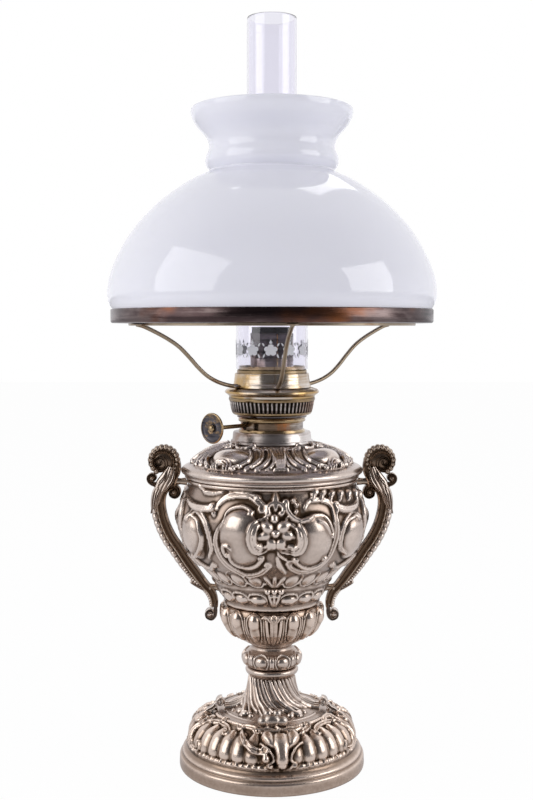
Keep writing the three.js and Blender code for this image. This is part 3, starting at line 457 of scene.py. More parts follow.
# Lobes with a thin rib between each two
lobes = 36
first_lobe = 6
for k in range(lobes):
    at = first_lobe + 360 / lobes * k
    foot.stroke([(0, 35.4), (0, 31.5), (0, 27), (0, 23.8)], 10.8, 3.2, ends=(0.55, 1.0), at=at)
    foot.stroke([(0, 34.6), (0, 28), (0, 20.6)], 1.2, 1.9, ends=(0.5, 0.9), at=at + 180 / lobes)
# Corded moulding
foot.stroke([(a, 17.7) for a in range(-180, 181, 10)], 4.6, 1.5, ends=(1, 1))
foot.settle()
cords = 90
for k in range(cords):
    tall = 0.7 if k % 3 else 1.2
    foot.stroke([(-0.4, 16.2), (0.4, 19.4)], 1.6, tall, ends=(0.8, 0.8), at=360 / cords * k)
foot.settle()
# Scrolls of each quarter
leaf_turn = 6.5
left_scroll = [(-37, 38.0), (-32, 39.2), (-25, 39), (-20, 38)]
right_scroll = [(10, 36.6), (17, 36.0), (24, 37.0), (30, 38.4)]
for k in range(4):
    at = 90 * k + leaf_turn
    for side in (-1, 1):
        foot.stroke([(8, 39.5), (30, 39.9), (45, 39.8)], 2.8, 1.7, fluted, (0.9, 0.9), at=at, side=side)
    foot.stroke(left_scroll, 3.6, 3.0, channelled, curls=(1.5, -1.5), at=at)
    foot.stroke(right_scroll, 4.4, 3.2, channelled, curls=(1.4, 1.6), at=at)
# Hanging leaf and the scrolls beside it, at the front and the back
leaf_edge = [
    (0, 35.2), (-7, 36.2), (-13.5, 36), (-15.5, 34.4), (-13, 32.2), (-9, 30.4), (-5.8, 28.6), (-4.6, 26),
    (-4.4, 22.6), (-3.8, 19.4),
]
leaf = leaf_edge + [(0, 17)] + [(-a, z) for a, z in leaf_edge[:0:-1]]
leaf_vein = [(8.4, 20.6), (5.8, 22.6), (6, 26), (9.6, 29.4), (15, 31.6)]
leaf_scroll = [(-34, 37.0), (-29.5, 34), (-24.5, 31), (-19, 28.6), (-12, 27.6)]
outer_scroll = [(68, 34), (71.5, 30.5), (72, 25), (68.6, 20.4), (62.6, 19.4), (58, 21.8)]
upper_scroll = [(70, 35.4), (64, 36.8), (54, 37.6), (44, 37.0), (38, 35.2)]
side_scroll = [(80, 34), (90, 36.6), (99, 35)]
for middle in (0, 180):
    foot.stroke([(4, 40.2), (10, 38.2), (18, 37.2), (27, 37.8)], 3.2, 3.4, curls=(0, -1.0), at=middle)
    foot.stroke([(-4, 40.2), (-9, 38.4), (-16, 38.0)], 2.8, 3.0, curls=(0, 1.0), at=middle)
    at = middle + leaf_turn
    foot.panel(leaf, 4.8, 3.0, at)
    foot.stroke(leaf_scroll, 4.0, 3.8, channelled, curls=(0, 1.3), at=at)
    foot.boss(at - 10.5, 24.0, 3.0, 2.8, 3.6)
    for side in (-1, 1):
        foot.stroke(leaf_vein, 2.2, 3.4, ends=(0.6, 0.6), curls=(1.5, 0), at=at, side=side)
        foot.stroke([(15, 38.4), (8, 38.6), (0, 38.2)], 2.8, 2.6, channelled, (0.4, 0.8), (1.2, 0), at, side)
        foot.stroke(outer_scroll, 4.2, 3.2, channelled, (0.6, 0.5), (0, -2.0), middle, side)
        foot.stroke(upper_scroll, 4.0, 3.0, channelled, curls=(1.6, 1.6), at=middle, side=side)
        foot.stroke(side_scroll, 4.4, 3.0, veined, curls=(-1.6, -1.6), at=middle, side=side)
add_casting("foot", foot, shaded_silver, "foot_casting")


# An iron disc in the foot gives it weight. A long iron rod with a nut at each end clamps the disc, foot,
# stem, knop, cup and urn together. All of it is black from the forge and a little rusty.
def coat(names, finish):
    """Puts a finish on CAD nodes that are shown as they are."""
    for name in names:
        cad[name].data.materials.clear()
        cad[name].data.materials.append(finish)


forged_iron = metal(
    "forged_iron", (0.02, 0.017, 0.015), (0.10, 0.09, 0.085), (0.22, 0.2, 0.19), (0.75, 0.5),
    (0.16, 0.06, 0.03), relief=False,
)
coat(["ballast_plate", "tie_rod", "tie_rod_lower_nut", "tie_rod_washer", "tie_rod_upper_nut"], forged_iron)

# The stem is a hollow flared casting with bundles of flutes that twist down it to the right. At each side an
# arm arches over the foot into a volute with a leafy tail. Front and back have a knot of round knobs instead.
warm_silver = metal(
    "warm_silver", (0.058, 0.035, 0.021), (0.365, 0.283, 0.235), (0.75, 0.64, 0.565), (0.43, 0.26)
)
stem_outside = [
    (41.3, 40.8), (38, 41.0), (34, 41.4), (30.2, 42.0), (25.6, 43.8), (21.6, 47.0), (18.9, 51.2),
    (17.2, 56.0), (16.2, 60.6), (15.8, 65), (15.5, 67), (17.0, 68.0), (19.2, 69.2), (20.0, 71),
    (19.8, 72.6), (18.8, 73.6), (16, 74),
]
stem_inside = [(3.4, 74), (3.4, 70), (3.4, 41), (12, 40.8)]
stem = Casting(stem_outside, stem_inside, step=0.5, columns=480)
flutes = [
    (4.6, 2.4, 42.4), (3.4, 1.9, 43.6), (4.0, 2.2, 45.6), (3.0, 1.6, 44.4), (4.8, 2.6, 42.8),
    (3.6, 2.0, 43.6), (4.2, 2.3, 45), (3.0, 1.6, 43.4),
]
first_flute = -50
flute_pitch = 90 / len(flutes)
buds = [
    (-56, 43.6, 2.6), (-48, 42.0, 2.1), (-33, 42.6, 2.1), (30, 43.0, 2.6), (44, 42.0, 2.1), (18, 42.0, 1.8),
]
for k in range(4):
    for step, (wide, tall, low) in enumerate(flutes):
        twist = [(0, 67), (8, 60), (21, 52), (35, 47), (46, low)]
        curl = 1.2 if step in (0, 4) else 0
        at = 90 * k + first_flute + flute_pitch * step
        stem.stroke(twist, wide, tall, ends=(0.6, 0.7), curls=(0, curl), at=at)
    for offset, z, size in buds:
        stem.boss(90 * k + offset, z, size, size * 0.9, size * 0.8)
    stem.stroke([(a, 41.3) for a in range(14, 80, 11)], 2.2, 1.3, fluted, (0.8, 0.8), at=90 * k)
stem.stroke([(a, 68.0) for a in range(-180, 181, 20)], 1.2, 0.5, ends=(1, 1))
add_casting("stem", stem, warm_silver, "stem_casting")


def swept(path, across, deep, section):
    """Points and faces of a closed bar: a section of (across, deep) shares carried along a path."""
    points = np.array([p + a * u + d * v for p, a, d in zip(path, across, deep) for u, v in section])
    count = len(section)
    faces = grid_faces(len(path), count, closed_rows=False)
    last = (len(path) - 1) * count
    faces.append(list(range(count))[::-1])
    faces.append(list(range(last, last + count)))
    return points, faces


def joined(parts):
    """Several sets of points and faces as one."""
    points, faces, start = [], [], 0
    for some_points, some_faces in parts:
        points.append(np.asarray(some_points, float))
        faces += [[i + start for i in face] for face in some_faces]
        start += len(some_points)
    return np.vstack(points), faces


def filled_in(sizes, count):
    """Sizes given by {share of the way: size}, or as a list at even steps, filled in to a count."""
    shares = list(sizes) if isinstance(sizes, dict) else np.linspace(0, 1, len(sizes))
    values = list(sizes.values()) if isinstance(sizes, dict) else sizes
    return np.interp(np.linspace(0, 1, count), shares, values)


def in_plane(line, half_width, half_depth, section, azimuth=0.0):
    """A bar that follows (radius, z) points in an upright plane through the axis at an azimuth from +X."""
    line = np.asarray(line, float)
    tangent = headings(line)
    cosine, sine = math.cos(math.radians(azimuth)), math.sin(math.radians(azimuth))
    out, sideways, up = np.array([cosine, sine, 0]), np.array([-sine, cosine, 0]), np.array([0, 0, 1])
    path = line[:, :1] * out + line[:, 1:] * up
    across = (tangent[:, 1:] * out - tangent[:, :1] * up) * filled_in(half_width, len(line))[:, None]
    deep = sideways * filled_in(half_depth, len(line))[:, None]
    return swept(path, across, deep, section)


def ball(centre, size, rings=10, sides=16):
    """An oval ball: centre and half sizes in millimetres."""
    centre, size = np.array(centre), np.broadcast_to(size, 3)
    points = [centre + [0, 0, -size[2]]]
    for i in range(1, rings):
        lift = -math.cos(math.pi * i / rings)
        wide = math.sin(math.pi * i / rings)
        for k in range(sides):
            a = 2 * math.pi * k / sides
            points.append(centre + size * [wide * math.cos(a), wide * math.sin(a), lift])
    points.append(centre + [0, 0, size[2]])
    top, first = len(points) - 1, 1 + (rings - 2) * sides
    faces = [[0, 1 + (k + 1) % sides, 1 + k] for k in range(sides)]
    for i in range(rings - 2):
        for k in range(sides):
            a, b = 1 + i * sides + k, 1 + i * sides + (k + 1) % sides
            faces.append([a, b, b + sides, a + sides])
    faces += [[first + k, first + (k + 1) % sides, top] for k in range(sides)]
    return np.array(points), faces


def wound(centre, radius, turns, start, steps, close):
    """A flat spiral of (x, z) points that winds in to a share of its radius, clockwise if turns is below 0."""
    t = np.linspace(0, 1, steps)
    a = math.radians(start) + turns * 2 * math.pi * t
    size = radius * (1 - (1 - close) * t**0.85)
    return np.stack([centre[0] + size * np.cos(a), centre[1] + size * np.sin(a)], -1)


def both_sides(half):
    """A bar's section from the points of its one side, in order, with the other side mirrored."""
    return half + [(u, -v) for u, v in half[::-1] if v]


round_bar = [(math.cos(a), math.sin(a)) for a in np.linspace(0, 2 * math.pi, 12, endpoint=False)]
ridged_bar = [
    (-1, -0.8), (-0.72, -1), (-0.5, -0.72), (-0.2, -0.6), (0.2, -0.6), (0.5, -0.72), (0.72, -1), (1, -0.8),
    (1, -0.3), (0.9, 0), (1, 0.3), (1, 0.8), (0.72, 1), (0.5, 0.72), (0.2, 0.6), (-0.2, 0.6), (-0.5, 0.72),
    (-0.72, 1), (-1, 0.8), (-1, 0.3), (-0.9, 0), (-1, -0.3),
]
fluted_bar = both_sides([
    (1.2, 0), (1, 0.96), (0.5, 1), (0.1, 0.9), (-0.05, 0.72), (-0.1, 0.6), (-0.5, 0.52), (-0.62, 0.36),
    (-0.5, 0.2), (-0.85, 0.14), (-1, 0),
])
edge_silver = metal(
    "edge_silver", (0.05, 0.034, 0.024), (0.36, 0.29, 0.245), (0.76, 0.665, 0.595), (0.44, 0.28), relief=False
)
arm_line = smooth_line(
    [(15.0, 67.0), (15.4, 60.8), (17.0, 54.8), (20.4, 49.6), (25.6, 46.0), (31.0, 43.8), (36.0, 43.4)], 0.7
)
tail_line = smooth_line([(42.4, 43.6), (44.6, 41.6), (47.6, 40.0), (51.0, 37.6), (54.6, 36.2)], 0.7)
volute_out = 38.8
volute_up = 46.2
volute_line = wound((volute_out, volute_up), 3.2, -1.7, 110, steps=60, close=0.12)
lower_knobs = ((-6.4, 4.2, 3.6), (0, 6.6, 5.2), (6.8, 4.8, 4.0))
upper_knobs = (-3.2, 3.6)
for k in range(4):
    cosine, sine = math.cos(math.radians(90 * k)), math.sin(math.radians(90 * k))
    if k % 2:
        parts = [ball((x, 38.6 * sine, 43.6), (wide, 3.6, tall), 10, 20) for x, wide, tall in lower_knobs]
        parts += [ball((x, 35.2 * sine, 48.2), (3.2, 3.0, 3.0)) for x in upper_knobs]
    else:
        parts = [
            in_plane(volute_line, [1.3, 0.7], [4.6, 5.4], round_bar, 90 * k),
            ball((volute_out * cosine, volute_out * sine, volute_up), (3.4, 4.8, 3.3), 12, 24),
            in_plane(arm_line, [1.7, 2.2], [3.4, 4.4], fluted_bar, 90 * k),
            in_plane(tail_line, [1.5, 1.0], [3.4, 2.4], ridged_bar, 90 * k),
        ]
    name = f"stem_arm_{k + 1}"
    add_piece(name, joined(parts), edge_silver, "urn_and_foot", ["stem_casting"])

# The knop is a small solid casting between stem and cup, with eight round bosses in frames and pairs of flutes
# between them.
knop_outside = [
    (18.2, 74.3), (19.2, 75.0), (20.6, 76.4), (21.2, 78.4), (21.5, 80.9), (21.2, 83.0), (20.0, 84.9),
    (17.8, 86.6), (15.9, 87.6), (15.2, 88.8), (15.0, 89.8), (15.6, 90.8), (17.2, 91.8), (17.5, 92.3),
]
knop_inside = [(10, 92.3), (3.4, 92.3), (3.4, 74.3), (10, 74.3)]
knop = Casting(knop_outside, knop_inside, step=0.3, columns=400)
knop_bosses = 8
first_boss = 22.5
thin_ends = (0.6, 0.6)
for k in range(knop_bosses):
    at = first_boss + 360 / knop_bosses * k
    knop.boss(at, 80.6, 4.7, 4.4, 2.0, power=0.55)
    for side in (-1, 1):
        knop.stroke([(14.5, 85.4), (15.5, 80.6), (12, 76.2)], 1.1, 1.3, ends=thin_ends, at=at, side=side)
        knop.stroke([(20.4, 84.8), (20.6, 80.5), (20.2, 77)], 2.4, 1.5, ends=thin_ends, at=at, side=side)
    knop.stroke([(-15, 80), (-11, 84.6), (0, 86), (11, 84.6), (15, 80)], 1.1, 1.2, ends=thin_ends, at=at)
add_casting("knop_casting", knop, warm_silver, "knop")

# The lower cup is cast with upright gadroons that swell towards the top, each in a raised outline, narrow ribs
# between them, and a ribbed leaf with curled tips on each quarter.
cup_outside = [
    (17.6, 92.6), (19.4, 93.2), (22.6, 94.9), (26.8, 97.6), (31.2, 101.8), (34.1, 105.8), (36.0, 109.6),
    (37.0, 113.4), (37.2, 116.4), (36.9, 118.8), (36.5, 120.0), (35.8, 121.2), (35.2, 121.8), (34.2, 122.2),
]
cup_inside = [(20, 122.2), (3.4, 122.2), (3.4, 92.6), (10, 92.6)]
cup = Casting(cup_outside, cup_inside, step=0.4, columns=640)
gadroons = 16
first_gadroon = 2
gadroon_pitch = 360 / gadroons
frame_side = [(-5.4, 98.5), (-7.8, 105), (-8.6, 112), (-7.2, 118), (0, 121)]
gadroon_frame = frame_side + [(-a, z) for a, z in frame_side[-2::-1]]
cup_rib = [(0, 117.6), (0, 108), (0, 97.6)]
rib_ends = (0.9, 0.5)
for k in range(gadroons):
    at = first_gadroon + gadroon_pitch * k
    cup.stroke(cup_rib, 1.6, 1.2, ends=rib_ends, at=at + gadroon_pitch / 2)
    if k % 4:
        cup.stroke([(0, 117.4), (0, 113.4), (0, 106.8), (0, 99.8)], 8.2, 2.8, ends=(0.9, 0.24), at=at)
        cup.boss(at, 114.6, 4.5, 7.4, 3.9, power=0.6)
        cup.stroke(gadroon_frame, 1.5, 1.7, at=at)
        continue
    cup.stroke(cup_rib, 3.4, 2.6, veined, rib_ends, at=at)
    for step in (-1.5, -0.5, 0.5, 1.5):
        line = [(step * 5.4, 116.6), (step * 4.8, 108), (step * 3.8, 98.6)]
        cup.stroke(line, 3.0, 2.0, ends=rib_ends, at=at)
    for step in (-2, -1, 1, 2):
        line = [(step * 2, 116), (step * 4, 119.6), (step * 6.4, 118.6)]
        cup.stroke(line, 2.2, 2.4, ends=(0.6, 0.9), at=at)
    for step in (-2, -1, 0, 1, 2):
        cup.boss(at + step * 4.4, 119.8 - abs(step) * 0.5, 1.7, 1.5, 2.0)
add_casting("lower_cup_casting", cup, shaded_silver, "lower_cup")

# The urn is one large casting. Smooth bulges stand between leafy scrolls, a posy sits in a ring of two
# C-scrolls at the front and at the back, and bands of slanting bosses and of eggs run round below.
urn_outside = [
    (33.6, 122.5), (35.4, 122.7), (36.1, 123.4), (36.3, 124.2), (35.9, 125.2), (35.7, 126.0), (37.0, 127.8),
    (39.4, 130.8), (41.2, 133.4), (42.6, 136.4), (43.4, 138.8), (44.4, 139.8), (45.3, 140.6), (45.5, 141.8),
    (44.9, 142.8), (45.2, 144.0), (47.4, 147.0), (50.6, 150.4), (54.6, 154.0), (58.8, 157.8), (62.2, 161.8),
    (64.6, 166.4), (66.6, 171.4), (68.2, 176.4), (69.3, 181.6), (70.0, 187), (70.1, 191), (69.4, 195.4),
    (67.7, 200.0), (65.8, 204.6), (64.0, 208.8), (62.6, 212.2), (62.4, 213.6), (63.6, 214.3), (64.6, 215.4),
    (64.4, 216.6), (63.6, 216.9),
]
urn_inside = [
    (60.8, 216.8), (60.8, 172), (54, 160), (45, 151), (42.8, 144.5), (40.2, 135.6), (33.2, 127.6),
    (3.4, 127.6), (3.4, 122.5), (20, 122.5),
]
urn = Casting(urn_outside, urn_inside, step=0.82, columns=660)
# Domes, eggs round the foot of the urn, slanting bosses over them, and the leaf between
eggs = [
    (-51, 132.6, 5.4), (-33, 132.6, 5.4), (-15, 132.4, 6.0), (16, 132.4, 6.0), (35, 132.6, 5.4),
    (52, 132.6, 5.4),
]
for middle in (1, 181):
    urn.boss(middle - 19.5, 181.5, 16.4, 21.5, 6.0, power=0.62)
    urn.boss(middle + 23, 179.0, 16.4, 20.5, 6.0, power=0.62)
    urn.boss(middle + 1.2, 185, 13.0, 11.0, 2.2, power=0.35)
    for at, z, across in eggs:
        urn.boss(middle + at, z, across, 4.0, 2.8, power=0.55)
    for side in (-1, 1):
        urn.boss(middle + side * 57, 178.5, 13.6, 17.5, 5.2, side * -6, 0.62)
        for at in (15.5, 34, 51.5):
            line = [(at - 9.5, 129.6), (at - 8.8, 134.4), (at - 2, 137.6), (at + 7, 136.8), (at + 9.5, 133.6)]
            urn.stroke(line, 1.4, 1.9, curls=(0, -0.9), at=middle, side=side)
        for at, z in ((15.5, 148.6), (31, 148.6), (45.5, 148.8), (60, 149)):
            urn.boss(middle + side * at, z, 4.6, 6.6, 2.2, side * -20)
            line = [(at - 7.4, 146.6), (at - 5, 143.7), (at + 1.8, 144), (at + 7.6, 148.6), (at + 7.4, 153.2)]
            urn.stroke(line + [(at + 2, 155.6)], 1.5, 2.0, curls=(-0.9, 0), at=middle, side=side)
    at = middle + 1
    for step in (-1, 0, 1):
        line = [(step * 1.8, 128.4), (step * 3.4, 133.6), (step * 5.6, 139.6)]
        urn.stroke(line, 2.6, 3.0, ends=(0.6, 0.9), at=at)
        urn.boss(at + step * 6.2, 140.4, 2.4, 2.0, 3.0)
        urn.boss(at + step * 2.4, 137.2, 1.7, 1.7, 3.4)
        line = [(step * 2, 144), (step * 5, 148), (step * 7.5, 151.6)]
        urn.stroke(line, 3.2, 2.4, veined, (0.7, 0.7), at=at)
urn.settle()
# Scroll work round the domes: width, height, section, curls of its two ends, and the line
leaf_work = [
    (5.2, 3.4, channelled, (0, -1.5),
     [(-35, 201), (-34, 205), (-30, 209), (-25, 211), (-19, 212), (-13, 211), (-9, 208), (-5, 204)]),
    (2.9, 2.2, rounded, (0, -1.1), [(-28, 193), (-28, 198), (-25, 202), (-19, 204), (-15, 203), (-12, 201)]),
    (4.6, 3.4, channelled, (0, 1.5),
     [(-29, 193), (-33, 186), (-35, 178), (-34, 169), (-31, 163), (-26, 158), (-19, 154), (-9, 156),
      (-2, 162)]),
    (3.8, 3.0, rounded, (0, 1.1), [(-25, 172), (-25, 167), (-22, 163), (-16, 161), (-10, 163), (-6, 168)]),
    (3.2, 2.6, rounded, (0, 0.8), [(-23, 176), (-25, 178), (-28, 178), (-29, 175), (-28, 171)]),
    (4.3, 3.6, channelled, (1.2, 0),
     [(-56, 193), (-55, 196), (-51, 198), (-46, 196), (-41, 190), (-39, 181), (-39, 173), (-44, 165)]),
    (2.9, 2.6, rounded, (0, -1.2), [(-55, 195), (-49, 192), (-46, 185), (-45, 178), (-49, 170), (-56, 165)]),
    (5.8, 3.6, veined, (0, 1.2), [(-66, 204), (-57, 201), (-48, 200), (-39, 201)]),
    (4.1, 2.6, fluted, (0, 0), [(-54, 216), (-50, 212), (-43, 211), (-34, 212.6)]),
    (3.8, 2.6, rounded, (0, -1.0), [(-28, 213), (-19, 213.4), (-13, 212.6), (-9, 210.6)]),
    (4.1, 3.4, rounded, (-1.2, 0), [(9, 207), (9, 202), (12, 197), (16, 195), (21, 196), (24, 198)]),
    (4.9, 3.4, channelled, (0, -1.3),
     [(20, 203), (23, 207), (29, 208), (36, 206), (39, 202), (39, 195), (40, 185), (39, 176), (37, 168),
      (33, 162), (28, 158), (20, 157), (13, 160), (10, 164)]),
    (2.9, 2.6, rounded, (0, -1.0), [(25, 198), (29, 198), (33, 195), (36, 188), (37, 184)]),
    (2.6, 2.2, rounded, (0, 0), [(26, 194), (30, 192), (34, 185)]),
    (3.8, 3.0, rounded, (1.1, 1.3), [(13, 167), (17, 163), (23, 161), (29, 163), (33, 167)]),
    (4.3, 3.6, channelled, (0, -1.4), [(51, 168), (46, 172), (44, 180), (46, 189), (52, 194), (58, 195)]),
    (5.8, 3.6, veined, (1.2, 0), [(42, 202), (50, 199), (61, 200), (68, 204)]),
    (4.2, 3.6, channelled, (-0.9, 0.9),
     [(-2, 177), (-6, 174), (-10, 176), (-12, 183), (-11, 190), (-8, 194), (-4, 195)]),
    (2.6, 3.2, rounded, (0, 0),
     [(-3, 178.6), (-6.4, 177), (-8.6, 180), (-9.4, 184), (-8.6, 189), (-6.4, 192.6), (-3.6, 193)]),
    (4.2, 3.6, channelled, (0.9, -0.9),
     [(9, 195), (13, 193), (16, 188), (17, 181), (15, 175), (11, 173), (6, 174)]),
    (2.6, 3.2, rounded, (0, 0),
     [(9, 193), (12, 191), (14, 187), (14.4, 181), (12.6, 177), (10, 175.6), (7, 176.4)]),
    (2.0, 2.2, rounded, (0, 0), [(3, 174), (4, 171), (7, 168), (10, 166)]),
    (4.1, 2.6, veined, (0, 0), [(3, 169), (3.6, 166), (5, 162), (9, 156)]),
    (3.8, 2.8, rounded, (0.9, -0.9), [(-2, 200), (-2.6, 204), (0, 206.4), (4, 206.4), (6.6, 203.4), (6, 200)]),
    (5.2, 3.0, veined, (0, 0), [(2, 212.4), (2, 208), (2, 202.4)]),
    (4.3, 3.0, veined, (1.0, -1.2), [(-43, 160), (-50, 156), (-58, 158), (-63, 163)]),
    (4.3, 3.0, veined, (-1.0, 1.2), [(45, 160), (52, 156), (60, 158), (65, 163)]),
    (5.2, 3.4, veined, (0, 1.4), [(-66, 176), (-70, 184), (-69, 193), (-72, 201)]),
    (5.2, 3.4, veined, (0, -1.4), [(68, 176), (72, 184), (71, 193), (74, 201)]),
]
# Garland at the right shoulder, and the posy
garland = ((28, 212.6), (34, 212), (41, 211), (49, 210), (58, 209), (68, 208), (77, 206))
petals = [
    (-3.4, 191.2, 5.4, 3.8, -42), (6.6, 191.6, 5.6, 4.0, 40), (9.0, 185.2, 5.2, 3.6, -12),
    (-4.6, 185.2, 5.0, 3.6, 14), (-0.6, 179.4, 4.0, 5.0, 12), (4.8, 179.4, 4.0, 4.8, -12),
    (1.2, 197.0, 3.0, 3.2, 0), (10.4, 177.4, 2.8, 2.4, 30), (-6.6, 178.2, 2.6, 2.2, -30),
]
for middle in (0, 180):
    for width, height, section, curls, line in leaf_work:
        urn.stroke(line, width, height, section, curls=curls, at=middle)
    for at, z in garland:
        urn.boss(middle + at, z, 3.9, 3.0, 3.4, 40)
        urn.boss(middle + at - 2, z - 3.4, 2.2, 1.8, 2.8, 40)
    for at, z, across, tall, tilt in petals:
        urn.boss(middle + at, z, across, tall, 2.9, tilt, 0.6)
    urn.boss(middle + 1.8, 186.8, 3.0, 2.8, 4.0)
    urn.stroke([(1.4, 200), (0.8, 197.6), (1, 195)], 1.3, 2.6, ends=(0.35, 0.35), at=middle)
    for at, z in ((13, 208), (15, 205), (14, 200.6), (-36, 197.6), (41, 199)):
        urn.boss(middle + at, z, 1.9, 2.1, 3.6)
# Plainer leaves behind the handles
side_leaves = [
    (3.2, 3.2, channelled, (0, -1.3), [(2, 200), (8, 206), (15, 205), (17, 199)]),
    (3.2, 3.2, channelled, (0, 1.3), [(3, 172), (9, 166), (15, 168), (17, 175), (13, 183), (6, 188)]),
    (2.6, 2.8, veined, (0, 1.0), [(2, 158), (8, 162), (14, 160), (18, 155)]),
    (3.0, 3.0, veined, (0, 0), [(1, 180), (4, 188), (9, 195)]),
]
for middle in (90, 270):
    for side in (-1, 1):
        for width, height, section, curls, line in side_leaves:
            urn.stroke(line, width, height, section, curls=curls, at=middle, side=side)
add_casting("urn", urn, warm_silver, "urn_body")

# Each handle is one flat casting in brown bronzed metal: an arm with raised edges and a ribbed silvered back,
# a beaded volute on top, small side scrolls, leaves and a ball scroll. Screws from inside the urn hold it on
# two studs.
dark_bronze = metal(
    "dark_bronze", (0.014, 0.008, 0.004), (0.14, 0.09, 0.058), (0.48, 0.385, 0.305), (0.46, 0.28), relief=False
)
leaf_bar = both_sides([
    (-1, -0.5), (-0.8, -0.86), (-0.55, -0.98), (-0.3, -0.82), (-0.12, -0.94), (0.1, -1), (0.3, -0.84),
    (0.55, -0.98), (0.8, -0.86), (1, -0.5),
])
handle_depth = 4.0
arm_line = smooth_line([
    (43.0, 118.5), (43.2, 123.8), (45.5, 130.2), (50.4, 135.7), (55.8, 143.1), (63.0, 153.2), (68.8, 162.3),
    (74.7, 171.0), (79.2, 180.2), (81.9, 189.4), (82.8, 197.6), (81.4, 204.1), (78.3, 208.2), (73.8, 210.0),
    (70.4, 207.6), (70.0, 203.9), (72.6, 202.0), (75.4, 203.4), (75.6, 206.2), (73.8, 207.4),
], 0.8)
arm_width = {0: 2.5, 0.1: 3.0, 0.25: 3.4, 0.55: 3.4, 0.72: 3.3, 0.8: 2.8, 0.9: 1.9, 1: 1.0}
arm_depth = {0: 3.2, 0.1: 3.7, 0.5: handle_depth, 0.75: handle_depth, 1: handle_depth + 0.5}
volute_line = smooth_line([
    (75.0, 210.4), (73.8, 215.4), (71.2, 220.8), (70.9, 227.0), (73.4, 233.0), (78.8, 236.9), (85.6, 236.3),
    (89.8, 231.9), (89.8, 226.2), (86.3, 222.3), (81.7, 222.1), (78.7, 225.2), (79.3, 229.5), (82.8, 231.5),
    (86.1, 229.9), (86.3, 226.7), (83.9, 225.8), (82.3, 227.3), (83.1, 228.9),
], 0.6)
volute_width = {0: 3.2, 0.12: 3.0, 0.4: 2.2, 0.7: 1.5, 1: 0.9}
volute_depth = {0: handle_depth, 0.4: 3.7, 0.75: 3.9, 1: 4.6}
brown = [
    in_plane(arm_line, arm_width, arm_depth, ridged_bar),
    in_plane(volute_line, volute_width, volute_depth, ridged_bar),
    ball((80.8, 0, 228.9), (8.6, 2.9, 7.6), 14, 32),
]
beads = 15
bead_ring = 9.9
ring_out = 80.5
ring_up = 229.2
first_bead = 214
bead_pitch = 19.2
for k in range(beads):
    a = math.radians(first_bead - bead_pitch * k)
    bead = 2.35 if k > 1 else 1.9
    spot = (ring_out + bead_ring * math.cos(a), 0, ring_up + bead_ring * math.sin(a))
    brown.append(ball(spot, (bead, 3.9, bead), 9, 14))
side_scroll = smooth_line([
    (82.2, 213.4), (85.2, 211.4), (89.0, 211.6), (91.8, 214.0), (92.0, 217.0), (89.8, 218.8), (87.2, 217.6),
    (87.0, 215.4), (88.6, 214.4), (89.8, 215.6),
], 0.5)
brown.append(in_plane(side_scroll, [1.9, 0.8], [2.6, 3.6], ridged_bar))
brown.append(ball((89.4, 0, 215.4), (2.6, 3.0, 2.6)))
brown.append(ball((73.2, 0, 205.2), (2.6, 3.8, 2.6)))
for start, finish, z in ((63.4, 73.4, 213.4), (39.6, 47.0, 133.4)):
    stud = [(start, z), ((start + finish) / 2, z + 0.01), (finish, z)]
    brown.append(in_plane(stud, [3.0, 2.4, 3.0], [3.0, 2.6, 3.0], round_bar))
foot_scroll = smooth_line([
    (43.0, 121.0), (42.2, 116.0), (42.6, 112.0), (45.2, 109.6), (48.6, 111.0), (49.2, 114.4), (46.8, 116.6),
    (44.2, 115.0), (44.4, 112.8), (46.2, 112.4),
], 0.5)
light = [
    in_plane(foot_scroll, [1.3, 0.9], [3.4, 4.4], ridged_bar),
    ball((45.8, 0, 113.2), (1.5, 4.9, 1.5)),
    in_plane([(43.6, 113.1), (45.9, 113.11), (48.2, 113.1)], [2.2, 3.0, 2.2], [3.2, 3.4, 3.2], round_bar),
]
back = smooth_line([
    (45.6, 119.0), (46.4, 124.4), (49.4, 130.0), (54.6, 135.4), (59.4, 140.2), (67.2, 150.0), (73.2, 158.8),
    (79.2, 167.8), (83.9, 177.6), (87.0, 187.4), (88.2, 197.0),
], 0.5)
rib_pitch = np.where(np.linspace(0, 1, len(back)) > 0.42, 5.2, 2.0)
swell = np.abs(np.sin(math.pi * way_along(back) / rib_pitch)) ** 0.7
back_width = filled_in({0: 1.4, 0.2: 1.9, 0.4: 2.3, 0.8: 2.8, 1: 2.6}, len(back)) * (0.82 + 0.18 * swell)
back_depth = filled_in({0: 2.6, 0.3: 3.6, 1: 4.4}, len(back)) * (0.6 + 0.4 * swell)
light.append(in_plane(back, back_width, back_depth, round_bar))
handle_leaves = [
    (5.4, [2.2, 4.0, 4.8, 4.0, 3.2, 0.9],
     [(75.6, 224.6), (78.2, 218.0), (82.0, 211.4), (84.8, 204.6), (86.2, 198.0), (87.8, 191.6)]),
    (5.6, [1.2, 2.2, 2.4, 1.2], [(72.6, 221.6), (74.6, 215.0), (77.2, 210.8), (80.2, 206.4)]),
    (5.3, [2.0, 2.6, 2.5, 2.0, 0.5],
     [(84.4, 211.0), (86.8, 205.0), (88.0, 199.0), (88.7, 193.6), (90.3, 189.6)]),
    (5.8, [1.6, 2.2, 1.8, 0.6], [(83.4, 209.0), (85.6, 203.6), (86.8, 198.6), (87.8, 195.6)]),
    (5.7, [1.5, 1.9, 1.4, 0.5], [(80.4, 216.6), (83.2, 213.0), (86.0, 210.6), (88.0, 209.8)]),
    (5.8, [0.8, 1.5, 1.3, 0.5], [(78.2, 222.0), (79.4, 217.4), (80.2, 213.4), (80.4, 210.0)]),
    (3.5, [0.8, 1.5, 1.3, 1.0], [(49.0, 131.0), (53.8, 133.6), (58.0, 135.8), (60.4, 137.2)]),
]
for deep, half, line in handle_leaves:
    depths = [deep * (0.5 + 0.5 * wide / max(half)) for wide in half]
    light.append(in_plane(smooth_line(line, 0.7), half, depths, leaf_bar))
